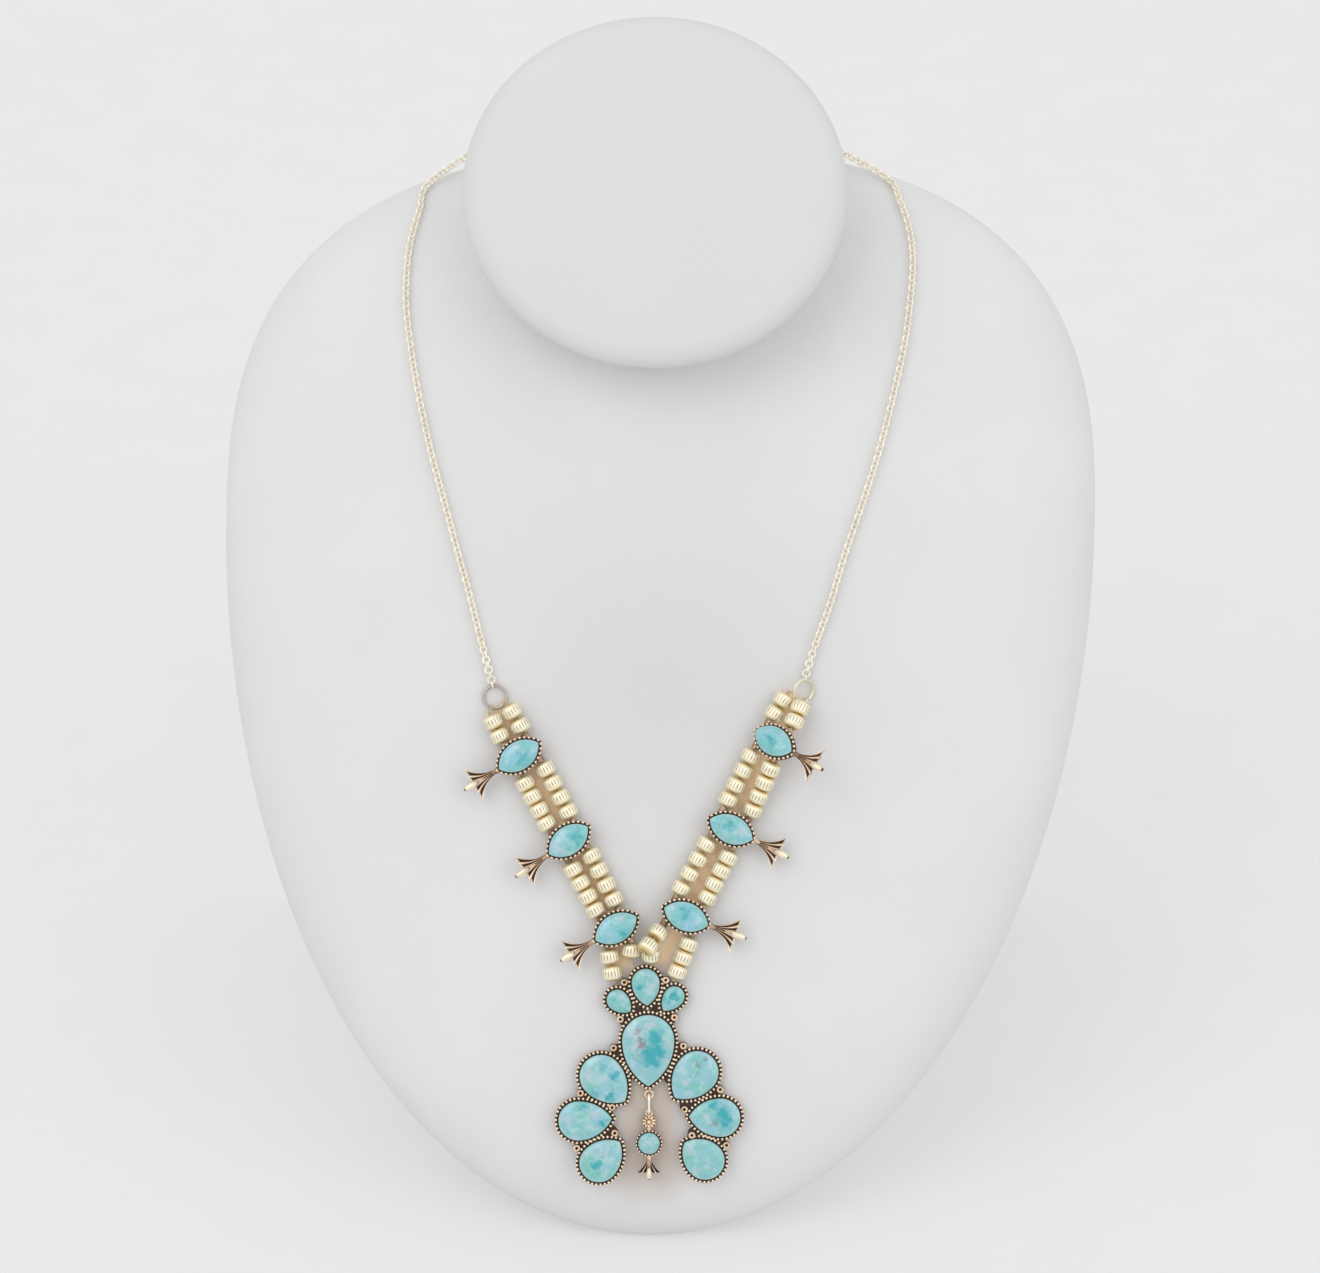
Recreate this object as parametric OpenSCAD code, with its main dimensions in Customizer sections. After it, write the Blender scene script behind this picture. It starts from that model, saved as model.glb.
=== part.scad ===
// Squash blossom necklace laid round a plain neck bust.
// The pieces are placed in a chest frame: x to the right, y up the chest, z out of it.
// stand_up() turns that frame so that the bust stands on its flat base and leans back.

/* [Bust] */
// Half width of the chest at its widest line
chest_half_w = 118; // [105:1:125]
// Height of the chest below its widest line
chest_lower_h = 195; // [180:1:205]
// Height of the chest above its widest line
chest_upper_h = 100; // [94:1:104]
// Rise of the chest's front over its rim
chest_rise = 20; // [16:1:24]
// Lean of the chest back from upright
chest_lean = 30; // [25:1:35]
// Depth of the base from its front tip to the flat back
base_depth = 175; // [165:1:190]
// Sideways place of the chest's middle at its widest line
chest_middle = 1.5; // [0:0.5:3]
// Sideways shift of the chest's outline for each millimetre up it
chest_skew = 0.015; // [0:0.001:0.02]
// Half width of the neck behind its end
neck_half_w = 47; // [44:0.5:49]
// Half height of the neck behind its end
neck_half_h = 42.5; // [40:0.5:44]
// Half width of the neck's flared end
face_half_w = 51; // [50:0.5:54]
// Half height of the neck's flared end
face_half_h = 46.5; // [45:0.5:49]
// Height of the neck's end over the chest's rim
neck_reach = 45; // [38:1:52]

/* [Chain] */
// Width of the chain
chain_w = 2.4; // [2:0.1:2.8]
// Height above the chest's rim at which the chain crosses the nape
nape_lift = 7; // [5:0.5:10]
// Length of the clasp behind the neck
clasp_len = 9; // [7:0.5:12]
// Width of the clasp
clasp_w = 3; // [2.5:0.1:3.6]
// Outer diameter of the jump rings
jump_d = 6.8; // [6:0.1:7.4]
// Wire of the jump rings and of the drop's link
wire_d = 0.7; // [0.5:0.05:0.8]

/* [Beads] */
// Diameter of a bead across its string
bead_d = 5.3; // [4.6:0.1:5.5]
// Length of a bead along its string
bead_len = 3.9; // [3.4:0.1:4.1]
// Diameter of a bead's flat end
bead_end_d = 2.8; // [2.4:0.1:3.2]
// Bore through a bead
bead_bore = 1.2; // [1:0.1:1.5]
// Diameter of the thread
thread_d = 0.8; // [0.6:0.05:0.9]

/* [Stations] */
// Length of a marquise stone
marquise_len = 12.7; // [12:0.1:14]
// Width of a marquise stone
marquise_w = 7.6; // [7:0.1:8.2]
// Length of a blossom from its stem to its longest petal
blossom_len = 8.6; // [7.5:0.1:9.6]
// Width of a blossom across its petal tips
blossom_w = 10.2; // [9:0.1:11]
// Diameter of the bud at a blossom's middle
bud_d = 2.1; // [1.8:0.1:2.4]

/* [Settings] */
// Thickness of a setting's back plate
plate_t = 0.8; // [0.6:0.1:1.2]
// Height of the granulated rim over the plate's back
rim_h = 2; // [1.7:0.1:2.4]
// Width of the granulated rim round a marquise stone
marquise_rim = 0.85; // [0.7:0.05:1.1]
// Width of the granulated rim round a pendant stone
rim_w = 1.1; // [0.9:0.05:1.3]
// Pitch of the granules round a marquise stone
marquise_pitch = 1.4; // [1.1:0.1:1.8]
// Pitch of the granules round a pendant stone
granule_pitch = 1; // [0.8:0.1:1.4]
// Depth of the notch between two granules
notch = 0.35; // [0.2:0.05:0.5]
// Height of a stone over the plate's back
stone_h = 3.6; // [3:0.1:4.2]
// Gap between pieces that lie against each other
gap = 0.12; // [0.1:0.01:0.2]

/* [Pendant] */
// Tilt of the pendant, which follows the lower chest
pendant_tilt = 4.5; // [3:0.5:6]
// Height of the dark fill between the pendant's settings
fill_h = 1.3; // [1:0.1:1.6]
// Outer diameter of a ring rosette
rosette_d = 2.2; // [1.8:0.1:2.6]
// Hole of a ring rosette
rosette_hole = 0.9; // [0.7:0.1:1.1]
// Diameter of the drop's round stone
drop_d = 5.8; // [5:0.1:6.2]
// Outer diameter of the drop's flower
flower_d = 4.2; // [3.8:0.1:4.6]

/* [Hidden] */
$fn = 48;
turquoise = [0.45, 0.75, 0.75];
pale_gold = [0.9, 0.84, 0.68];
old_gold = [0.72, 0.58, 0.42];

// Outline and dome of the chest
upper_pow = 2.6;
dome_pow = 7;
dome_shares = [0.3, 0.55, 0.7, 0.8, 0.88, 0.94, 0.975, 1];
neck_sides = 40;
neck_share = 0.85;
neck_y = chest_lower_h + neck_share * chest_upper_h;
base_middle = base_depth * 0.5;
back_inset = 1;

// The neck's rings: height as a share of neck_reach, share of the flare, inset from the outline
neck_rings = [
    [0, 0, 0], [0.3, 0, 0], [0.5, 0.18, 0], [0.68, 0.6, 0], [0.8, 0.92, 0], [0.88, 1, 0],
    [0.95, 1, 1], [0.99, 1, 3.2], [1, 1, 7], [1.02, 1, 26]
];

// Chain routes on the chest, from the jump ring up to the shoulder, for a neck at chain_neck_y
chain_neck_y = 280;
CHAIN_LEFT = [
    [-44, 151.5], [-46.5, 161], [-50, 175], [-52.5, 184], [-56, 197], [-60, 212], [-63, 226],
    [-65, 237.5], [-66.5, 250], [-66.5, 259], [-65.5, 268], [-63, 277], [-60.5, 284]
];
CHAIN_RIGHT = [
    [40.5, 152.5], [43, 160.5], [47, 171.5], [51, 185], [56, 199.5], [60.5, 214], [64, 228],
    [67, 242], [68.5, 254], [69, 264], [68, 272], [65.5, 279.5], [62, 285.5]
];
// The chain leaves the shoulder and meets the neck at this turn round its outline
nape_start = 22;
nape_steps = 13;
chain_sides = 8;

// Bead runs of the four strings: first bead x, y, last bead x, y, beads, lift of first, last.
// A run of one bead gives two points of the thread, with the bead midway.
LEFT_OUTER = [
    [-43.3, 139.7, -41.5, 135.9, 2, 0, 0], [-34.7, 123.2, -29, 112.5, 4, 0, 0],
    [-21.9, 100.2, -15.9, 89.3, 4, 0, 0], [-12.2, 76.8, -11.4, 72.4, 2, 0, 0]
];
LEFT_INNER = [
    [-38.3, 142.4, -36.1, 138.5, 2, 0, 0], [-29.3, 127, -23.3, 115.6, 4, 0, 0],
    [-17, 103.8, -11, 92.1, 4, 0, 0], [-6.35, 78.9, -6.45, 77.9, 1, 0, 0]
];
RIGHT_INNER = [
    [34.3, 145.5, 32, 141.9, 2, 0, 0], [25.6, 130.4, 19.6, 118.8, 4, 0, 0],
    [13.8, 106.8, 7, 95, 4, 0, 0], [0.8, 83.2, -1.8, 79.7, 2, 2, 4.4],
    [-1, 78, -1, 76.7, 1, 0.9, 0.5]
];
RIGHT_OUTER = [
    [38.8, 143.35, 37.15, 139.75, 2, 2, 3], [30.9, 127.2, 26.1, 116.1, 4, 3, 0],
    [19.5, 103.4, 13.9, 92.6, 4, 0, 0], [8.9, 80.2, 5.9, 72.8, 3, 0, 0]
];
// Where each thread ends at the pendant's upper edge: x, y
LEFT_OUTER_END = [-11.1, 69.9];
LEFT_INNER_END = [-6, 74];
RIGHT_INNER_END = [-1.1, 75.1];
RIGHT_OUTER_END = [5.1, 70.9];
// Centres of the jump rings, and the tilt and turn of each: x, y, tilt, turn
JUMP_LEFT = [-42.9, 146.3, 0, 0];
JUMP_RIGHT = [39.8, 148, 35, -20];

// Stations: x, y, turn of the stone, side of the blossom, turn of the blossom
STATIONS = [
    [-36.4, 130.6, 34, -1, 211], [-23.1, 108, 36, -1, 214], [-10.4, 84.5, 30, -1, 211],
    [32.5, 134.1, -31, 1, -30], [20.3, 111, -25.6, 1, -27], [8.2, 87.7, -22, 1, -19]
];
tube_d = 2.1;
tube_len = 9.4;
tube_sunk = 0.15;
blossom_back = 0.2;
// Radius of a cabochon's dome over its length
dome_share = 1.45;

// Pendant stones: round end x, y, length, width, direction of the point
PENDANT_X = -1.6;
PENDANT_Y = 53.5;
pendant_clear = 0.45;
// Share by which the narrowest stones would be lower than the main one
small_lower = 0.3;
rosette_over = 0.2;
rosette_sunk = 0.3;
NAJA = [
    [-0.9, 16.5, 10, 7.5, -86], [-8.5, 11.8, 7.6, 5.7, -41], [6.8, 12.8, 7.7, 5.5, -128],
    [-0.2, 0.8, 19.3, 14, -90], [-12.8, -8.8, 15.1, 11.6, -47], [-19, -20.9, 14.4, 10.6, 4],
    [-13.5, -32.3, 13.3, 10.4, 46], [12.9, -7.7, 14.9, 11.5, -131], [19.3, -20, 13.8, 10.4, 178],
    [15.1, -31.6, 12.6, 10.4, 139]
];
// Ring rosettes of the pendant: x, y
ROSETTES = [
    [-6.6, 16.6], [4.5, 17.2], [-7.7, 6.6], [6.8, 7.1], [-9.5, -1.1], [9.2, -0.6],
    [-18.4, -13.4], [-19.4, -28.3], [-9.2, -24.2], [19.1, -12.4], [20.8, -27.5],
    [9.5, -17.8], [-9.9, -17.2], [11.5, -24.8]
];
// Dark fills under the rosettes and between the stones: x, y, diameter
FILLS = [
    [-5, 14.6, 4.2], [3.4, 14.8, 4.2], [-4.6, 9.4, 5.4], [3.6, 9.6, 5.4], [-6.4, 6.4, 3.6],
    [5.5, 6.8, 3.6], [-8.2, -2, 3.6], [7.8, -1.8, 3.6], [-7, -8.6, 5.4], [6.4, -8.6, 5.4],
    [-16.6, -14, 4], [-10.6, -16.4, 4.4], [-17.4, -27.4, 4.2], [-10.2, -24.2, 3.8],
    [17.3, -13, 4], [10.4, -16.8, 4.4], [18.6, -26.8, 4.2], [12.2, -24.6, 3.8]
];

// Loop under the pendant's point and the drop below it, along y
loop_y = -13.8;
loop_r = 1.05;
link_half = 1.45;
link_y = -16.4;
flower_y = -21.3;
drop_y = -27;
neck_top_y = -30.4;
bell_y = -31.6;
bell_len = 3.9;
bell_w = 7.1;
bell_back = 0.1;
flower_petals = 10;
flower_back = 0.3;
flower_t = 1;
flower_dent = 0.6;
flower_ball = 1.4;
link_wire = wire_d * 0.8;
eye_r = 0.84;
stem_d = 1.4;
stem_len = 3;
stem_z = 0.8;
drop_rim_w = 0.6;
drop_dome_share = 1.1;
drop_top = 0.85;

// Chest surface
function part_pow(y) = y < chest_lower_h ? 2 : upper_pow;
function part_h(y) = y < chest_lower_h ? chest_lower_h : chest_upper_h;
function middle_x(y) = chest_middle + chest_skew * (y - chest_lower_h);
function reach(x, y) =
    let (n = part_pow(y), a = abs(x - middle_x(y)) / chest_half_w,
        b = abs(y - chest_lower_h) / part_h(y))
    pow(pow(a, n) + pow(b, n), 1 / n);
function dome(r) = chest_rise * sqrt(max(0, 1 - pow(r, dome_pow)));
function chest_z(x, y) = dome(reach(x, y));
function unit(v) = v / norm(v);
slope_step = 0.5;
function chest_normal(x, y) = unit([
    (chest_z(x - slope_step, y) - chest_z(x + slope_step, y)) / (2 * slope_step),
    (chest_z(x, y - slope_step) - chest_z(x, y + slope_step)) / (2 * slope_step), 1]);
function seat(x, y, lift) = [x, y, chest_z(x, y)] + lift * chest_normal(x, y);

// Outline turns: they hold the two corners where base and back meet
corner_y = base_depth * sin(chest_lean);
corner_turn = asin(corner_y / chest_lower_h - 1);
tip_turn = -86;
right_turns = concat(
    [for (k = [0:8]) tip_turn + (corner_turn - tip_turn) * k / 8],
    [for (k = [1:5]) corner_turn * (1 - k / 5)],
    [for (k = [1:14]) 90 * k / 15]);
turns = concat(right_turns, [90], [for (k = [len(right_turns) - 1:-1:0]) 180 - right_turns[k]]);
function signed_pow(v, p) = sign(v) * pow(abs(v), p);
function outline(turn, r) =
    let (lower = sin(turn) < 0, p = lower ? 1 : 2 / upper_pow,
        y = chest_lower_h + (lower ? chest_lower_h : chest_upper_h) * r * signed_pow(sin(turn), p))
    [chest_half_w * r * signed_pow(cos(turn), p) + middle_x(y), y];
// Depth at which a line straight back from the rim meets the floor or the flat back
function floor_z(y) = -y * cos(chest_lean) / sin(chest_lean);
function back_z(y, inset) = (y * sin(chest_lean) - base_depth + inset) / cos(chest_lean);

// Swept tube: rings of points round a route, closed at both ends
function route_dir(route, k) =
    unit(route[min(k + 1, len(route) - 1)] - route[max(k - 1, 0)]);
function ring(at, dir, r, sides) =
    let (a = unit(cross(dir, abs(dir[2]) > 0.9 ? [1, 0, 0] : [0, 0, 1])), b = cross(dir, a))
    [for (k = [0:sides - 1]) at + r * (cos(360 * k / sides) * a + sin(360 * k / sides) * b)];
module rings_solid(rings) {
    n = len(rings[0]);
    last = len(rings) - 1;
    polyhedron(
        points = [for (one = rings) each one],
        faces = concat(
            [[for (k = [0:n - 1]) k]],
            [for (j = [0:last - 1], k = [0:n - 1]) let (m = (k + 1) % n)
                each [[j * n + k, (j + 1) * n + k, j * n + m],
                    [j * n + m, (j + 1) * n + k, (j + 1) * n + m]]],
            [[for (k = [n - 1:-1:0]) last * n + k]]),
        convexity = 6);
}
module tube(route, r, sides) {
    rings_solid([for (k = [0:len(route) - 1]) ring(route[k], route_dir(route, k), r, sides)]);
}

module stand_up() {
    translate([0, -base_middle, 0])
        rotate([90 - chest_lean, 0, 0])
            children();
}

// Neck bust
module chest() {
    n = len(turns);
    fronts = len(dome_shares);
    rows = concat(
        [for (s = dome_shares) [for (t = turns) let (p = outline(t, s)) [p[0], p[1], dome(s)]]],
        [[for (t = turns) let (p = outline(t, 1))
            [p[0], p[1], max(floor_z(p[1]), back_z(p[1], 0))]]]);
    points = concat([for (row = rows) each row], [[chest_middle, chest_lower_h, chest_rise]]);
    middle = len(rows) * n;
    low = [for (k = [0:n - 1]) if (rows[fronts][k][1] <= corner_y + 0.01) k];
    high = [for (k = [0:n - 1]) if (rows[fronts][k][1] >= corner_y - 0.01) k];
    right_low = [for (k = low) if (k < n / 2) k];
    left_low = [for (k = low) if (k >= n / 2) k];
    polyhedron(
        points = points,
        faces = concat(
            [for (k = [0:n - 1]) [middle, (k + 1) % n, k]],
            [for (j = [0:fronts - 1], k = [0:n - 1]) let (m = (k + 1) % n)
                each [[j * n + k, j * n + m, (j + 1) * n + k],
                    [j * n + m, (j + 1) * n + m, (j + 1) * n + k]]],
            [[for (k = high) fronts * n + k]],
            [[for (k = concat(left_low, right_low)) fronts * n + k]]),
        convexity = 4);
}
module neck() {
    step = 360 / neck_sides;
    function at(turn, z, flare, inset) = [
        (neck_half_w + flare * (face_half_w - neck_half_w) - inset) * cos(turn),
        neck_y + (neck_half_h + flare * (face_half_h - neck_half_h) - inset) * sin(turn), z];
    rings_solid(concat(
        [[for (k = [0:neck_sides - 1]) let (p = at(k * step, 0, 0, 0))
            [p[0], p[1], back_z(p[1], back_inset)]]],
        [for (row = neck_rings) [for (k = [0:neck_sides - 1])
            at(k * step, row[0] * neck_reach, row[1], row[2])]]));
}
module neck_bust() {
    color([0.88, 0.88, 0.88])
        stand_up() {
            chest();
            neck();
        }
}

// Chain, clasp and jump rings
chain_r = chain_w / 2;
chain_clear = 0.3;
chain_lift = chain_r + chain_clear;
clasp_turn = clasp_len / 2 / (neck_half_h + chain_r) * 180 / PI;
function nape(turn) = [
    (neck_half_w + chain_lift + chain_clear) * cos(turn),
    neck_y + (neck_half_h + chain_lift + chain_clear) * sin(turn), nape_lift];
// The chain keeps its foot at the jump ring, and its shoulder end moves with the neck
function chain_y(points, y) =
    let (foot = points[0][1], head = points[len(points) - 1][1])
    y + (neck_y - chain_neck_y) * (y - foot) / (head - foot);
function chain_route(points, side) = concat(
    [for (p = points) seat(p[0], chain_y(points, p[1]), chain_lift)],
    [for (k = [0:nape_steps])
        let (turn = nape_start + (90 - clasp_turn - nape_start) * k / nape_steps)
        nape(side > 0 ? turn : 180 - turn)]);
module chain_left() {
    color(pale_gold) stand_up() tube(chain_route(CHAIN_LEFT, -1), chain_r, chain_sides);
}
module chain_right() {
    color(pale_gold) stand_up() tube(chain_route(CHAIN_RIGHT, 1), chain_r, chain_sides);
}
module clasp() {
    length = clasp_len - 2 * gap;
    color(pale_gold)
        stand_up()
            translate(nape(90) + [0, (clasp_w - chain_w) / 2 + gap, 0])
                rotate([0, 90, 0])
                    cylinder(h = length, d = clasp_w, center = true);
}
module jump_ring() {
    rotate_extrude()
        translate([(jump_d - wire_d) / 2, 0])
            circle(d = wire_d);
}
function jump_at(one) =
    seat(one[0], one[1], wire_d / 2 + gap + jump_d / 2 * sin(abs(one[2])));
module placed_ring(one) {
    color(pale_gold)
        stand_up()
            translate(jump_at(one))
                rotate([0, 0, one[3]])
                    rotate([0, one[2], 0])
                        jump_ring();
}
module jump_ring_left() placed_ring(JUMP_LEFT);
module jump_ring_right() placed_ring(JUMP_RIGHT);

// Beads and threads
bead_lift = bead_d / 2 + gap;
function between(a, b, share) = a + (b - a) * share;
function run_point(run, last) =
    let (x = run[last ? 2 : 0], y = run[last ? 3 : 1])
    [x, y, chest_z(x, y) + bead_lift + run[last ? 6 : 5]];
function run_dir(run) = unit(run_point(run, true) - run_point(run, false));
function bead_at(run, k) = between(run_point(run, false), run_point(run, true),
    run[4] > 1 ? k / (run[4] - 1) : 0.5);
// A thread enters and leaves a run straight, clear of its end beads
thread_clear = 0.25;
function run_entry(run) = bead_at(run, 0) - (bead_len / 2 + thread_clear) * run_dir(run);
function run_exit(run) = bead_at(run, run[4] - 1) + (bead_len / 2 + thread_clear) * run_dir(run);
function dir_turns(d) = [0, acos(d[2] / norm(d)), atan2(d[1], d[0])];
module bead() {
    bulge = (bead_d - bead_end_d) / 2;
    arc_r = (bulge * bulge + bead_len * bead_len / 4) / (2 * bulge);
    rotate_extrude()
        intersection() {
            translate([bead_d / 2 - arc_r, 0])
                circle(r = arc_r);
            translate([bead_bore / 2, -bead_len / 2])
                square([bead_d, bead_len]);
        }
}
module bead_string(runs) {
    color(pale_gold)
        stand_up()
            for (run = runs)
                for (k = [0:run[4] - 1])
                    translate(bead_at(run, k))
                        rotate(dir_turns(run_dir(run)))
                            bead();
}
module thread(runs, jump, end) {
    ring = jump_at(jump);
    start = ring + (jump_d / 2 + gap) * unit(run_entry(runs[0]) - ring);
    route = concat([start], [for (run = runs) each [run_entry(run), run_exit(run)]],
        [seat(end[0], end[1], bead_lift)]);
    color(pale_gold)
        stand_up()
            tube(route, thread_d / 2, chain_sides);
}
module beads_left_outer() bead_string(LEFT_OUTER);
module beads_left_inner() bead_string(LEFT_INNER);
module beads_right_inner() bead_string(RIGHT_INNER);
module beads_right_outer() bead_string(RIGHT_OUTER);

// Marquise and pear outlines: the same arcs moved outwards by grow
marquise_r = (pow(marquise_len / 2, 2) + pow(marquise_w / 2, 2)) / marquise_w;
module marquise_2d(grow) {
    intersection_for (side = [-1, 1])
        translate([0, side * (marquise_r - marquise_w / 2)])
            circle(r = marquise_r + grow, $fn = 96);
}
function side_r(one) = (pow(one[3] / 2, 2) + pow(one[2] - one[3] / 2, 2)) / one[3];
// Points along an arc: every second one lies dent further in
function arc_points(centre, r, from, to, count, dent) = [
    for (k = [0:2 * count - 1]) let (turn = from + (to - from) * k / (2 * count))
    centre + (r - (k % 2 == 1 ? dent : 0)) * [cos(turn), sin(turn)]];
function marquise_points(grow, pitch, dent) =
    let (c = marquise_r - marquise_w / 2, half = acos(c / (marquise_r + grow)),
        count = round(half / 90 * PI * marquise_r / pitch))
    concat(
        arc_points([0, -c], marquise_r + grow, 90 - half, 90 + half, count, dent),
        arc_points([0, c], marquise_r + grow, 270 - half, 270 + half, count, dent));
function pear_points(one, grow, pitch, dent) =
    let (r = one[3] / 2, big = side_r(one), c = big - r, half = acos(c / (big + grow)),
        count = round(half / 180 * PI * big / pitch),
        round_count = round(PI * r / pitch))
    concat(
        arc_points([0, 0], r + grow, 90, 270, round_count, dent),
        arc_points([0, c], big + grow, 270, 270 + half, count, dent),
        arc_points([0, -c], big + grow, 90 - half, 90, count, dent));

// Blossom: a flared fan with five raised petals, flat at the back
petals = 5;
petal_steps = 8;
stem_half = 0.6;
fan_t = 0.6;
petal_t = 1.2;
petal_drop = 0.12;
petal_half = 0.19;
petal_pitch = 2 / petals;
flare_pow = 2.3;
tip_round = 0.12;
side_draw = 0.1;
// Shares of the bud's diameter: its middle past the petals and over the back, and its rib
bud_over = 0.42;
bud_lift = 0.55;
bud_rib = 0.8;
function flare(s, w) = stem_half + (w / 2 - stem_half) * pow(s, flare_pow);
function fan_at(s, t, length, w) =
    [length * s * (1 - tip_round * s * t * t), t * flare(s, w) * (1 - side_draw * s * s)];
function petal_edge(middle, side, length, w) = [
    for (k = [0:petal_steps]) let (s = k / petal_steps,
        half = petal_half * (0.35 + 0.65 * sin(150 * s)) * (k == petal_steps ? 0.15 : 1))
    fan_at(s, middle + side * half, length, w)];
function reversed(list) = [for (k = [len(list) - 1:-1:0]) list[k]];
module fan_2d(length, w) {
    edge = [for (k = [0:petal_steps]) fan_at(0.9 * k / petal_steps, 1, length, w)];
    across = [for (k = [1:2 * petals - 1])
        fan_at(k % 2 == 0 ? 0.86 : 0.78, 1 - k / petals, length, w)];
    polygon(concat(edge, across, reversed([for (p = edge) [p[0], -p[1]]])));
}
module blossom(length, w) {
    linear_extrude(fan_t)
        fan_2d(length, w);
    for (k = [0:petals - 1]) {
        middle = petal_pitch * (k - (petals - 1) / 2);
        linear_extrude(petal_t - petal_drop * abs(k - (petals - 1) / 2))
            polygon(concat(
                petal_edge(middle, -1, length, w),
                reversed(petal_edge(middle, 1, length, w))));
    }
    translate([length + bud_d * bud_over, 0, bud_d * bud_lift])
        sphere(d = bud_d, $fn = 24);
    translate([length * 0.5, 0, bud_d * bud_lift])
        rotate([0, 90, 0])
            cylinder(h = length * 0.5 + bud_d * bud_over, d = bud_d * bud_rib, $fn = 24);
}

// Stations: each one lies on the two strands that pass under it
function station_runs(k) = k < 3 ? [LEFT_OUTER, LEFT_INNER] : [RIGHT_INNER, RIGHT_OUTER];
function pass_from(runs, k) = run_exit(runs[k % 3]);
function pass_to(runs, k) = run_entry(runs[k % 3 + 1]);
function pass_middle(runs, k) = (pass_from(runs, k) + pass_to(runs, k)) / 2;
module station_frame(k) {
    s = STATIONS[k];
    low = pass_middle(station_runs(k)[0], k);
    high = pass_middle(station_runs(k)[1], k);
    swing = asin((high[2] - low[2]) / norm(high - low));
    translate([s[0], s[1], (low[2] + high[2]) / 2 + tube_d / 2 - tube_sunk])
        rotate([0, 0, s[2]])
            rotate([0, -swing, 0])
                children();
}
module strand_tube(a, b, bore) {
    d = b - a;
    length = min(tube_len, norm(d) - tube_d / 2);
    translate((a + b) / 2)
        rotate(dir_turns(d))
            cylinder(h = bore ? 2 * tube_len : length, d = bore ? bead_bore : tube_d, center = true);
}
module station(k) {
    s = STATIONS[k];
    color(old_gold)
        stand_up()
            difference() {
                union() {
                    station_frame(k)
                        linear_extrude(rim_h)
                            polygon(marquise_points(marquise_rim, marquise_pitch, notch));
                    station_frame(k)
                        translate([s[3] * (marquise_len + marquise_rim) / 2, 0, blossom_back])
                            rotate([0, 0, s[4] - s[2]])
                                blossom(blossom_len, blossom_w);
                    for (runs = station_runs(k))
                        strand_tube(pass_from(runs, k), pass_to(runs, k), false);
                }
                station_frame(k)
                    translate([0, 0, plate_t])
                        linear_extrude(stone_h)
                            marquise_2d(gap);
                for (runs = station_runs(k))
                    strand_tube(pass_from(runs, k), pass_to(runs, k), true);
            }
}
module marquise_stone(k) {
    dome_r = marquise_len * dome_share;
    color(turquoise)
        stand_up()
            station_frame(k)
                intersection() {
                    translate([0, 0, plate_t + gap])
                        linear_extrude(stone_h)
                            marquise_2d(0);
                    translate([0, 0, stone_h - dome_r])
                        sphere(r = dome_r, $fn = 96);
                }
}

// Pendant
pendant_back = chest_z(PENDANT_X, PENDANT_Y) + pendant_clear;
module pendant_frame() {
    translate([PENDANT_X, PENDANT_Y, pendant_back])
        rotate([pendant_tilt, 0, 0])
            children();
}
module pear_frame(one) {
    translate([one[0], one[1], 0])
        rotate([0, 0, one[4]])
            children();
}
module naja_frame() {
    color(old_gold)
        stand_up()
            pendant_frame()
                difference() {
                    union() {
                        for (one = NAJA)
                            pear_frame(one)
                                linear_extrude(rim_h)
                                    polygon(pear_points(one, rim_w, granule_pitch, notch));
                        for (f = FILLS)
                            translate([f[0], f[1], 0])
                                cylinder(h = fill_h, d = f[2]);
                        for (r = ROSETTES)
                            translate([r[0], r[1], 0])
                                cylinder(h = rim_h + rosette_over, d = rosette_d);
                        translate([0, loop_y, rim_h / 2])
                            rotate_extrude()
                                translate([loop_r, 0])
                                    circle(d = wire_d);
                    }
                    for (one = NAJA)
                        pear_frame(one)
                            translate([0, 0, plate_t])
                                linear_extrude(stone_h)
                                    polygon(pear_points(one, gap, granule_pitch, 0));
                    for (r = ROSETTES)
                        translate([r[0], r[1], fill_h - rosette_sunk])
                            cylinder(h = stone_h, d = rosette_hole);
                }
}
module pear_stone(k) {
    one = NAJA[k];
    dome_r = one[2] * dome_share;
    top = stone_h * (1 - small_lower * (1 - one[3] / NAJA[3][3]));
    color(turquoise)
        stand_up()
            pendant_frame()
                pear_frame(one)
                    intersection() {
                        translate([0, 0, plate_t + gap])
                            linear_extrude(stone_h)
                                polygon(pear_points(one, 0, granule_pitch, 0));
                        translate([(one[2] - one[3]) / 2, 0, top - dome_r])
                            sphere(r = dome_r, $fn = 96);
                    }
}
module drop_link() {
    color(pale_gold)
        stand_up()
            pendant_frame()
                translate([0, link_y, rim_h / 2])
                    rotate([0, 90, 0]) {
                        for (side = [-1, 1]) {
                            translate([0, side * link_half, 0])
                                rotate([0, 0, side > 0 ? 0 : 180])
                                    rotate_extrude(angle = 180)
                                        translate([loop_r, 0])
                                            circle(d = link_wire);
                            translate([side * loop_r, 0, 0])
                                rotate([90, 0, 0])
                                    cylinder(h = 2 * link_half, d = link_wire, center = true);
                        }
                    }
}
module drop_stem(y) {
    translate([0, y, stem_z])
        rotate([90, 0, 0])
            cylinder(h = stem_len, d = stem_d, center = true);
}
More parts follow.
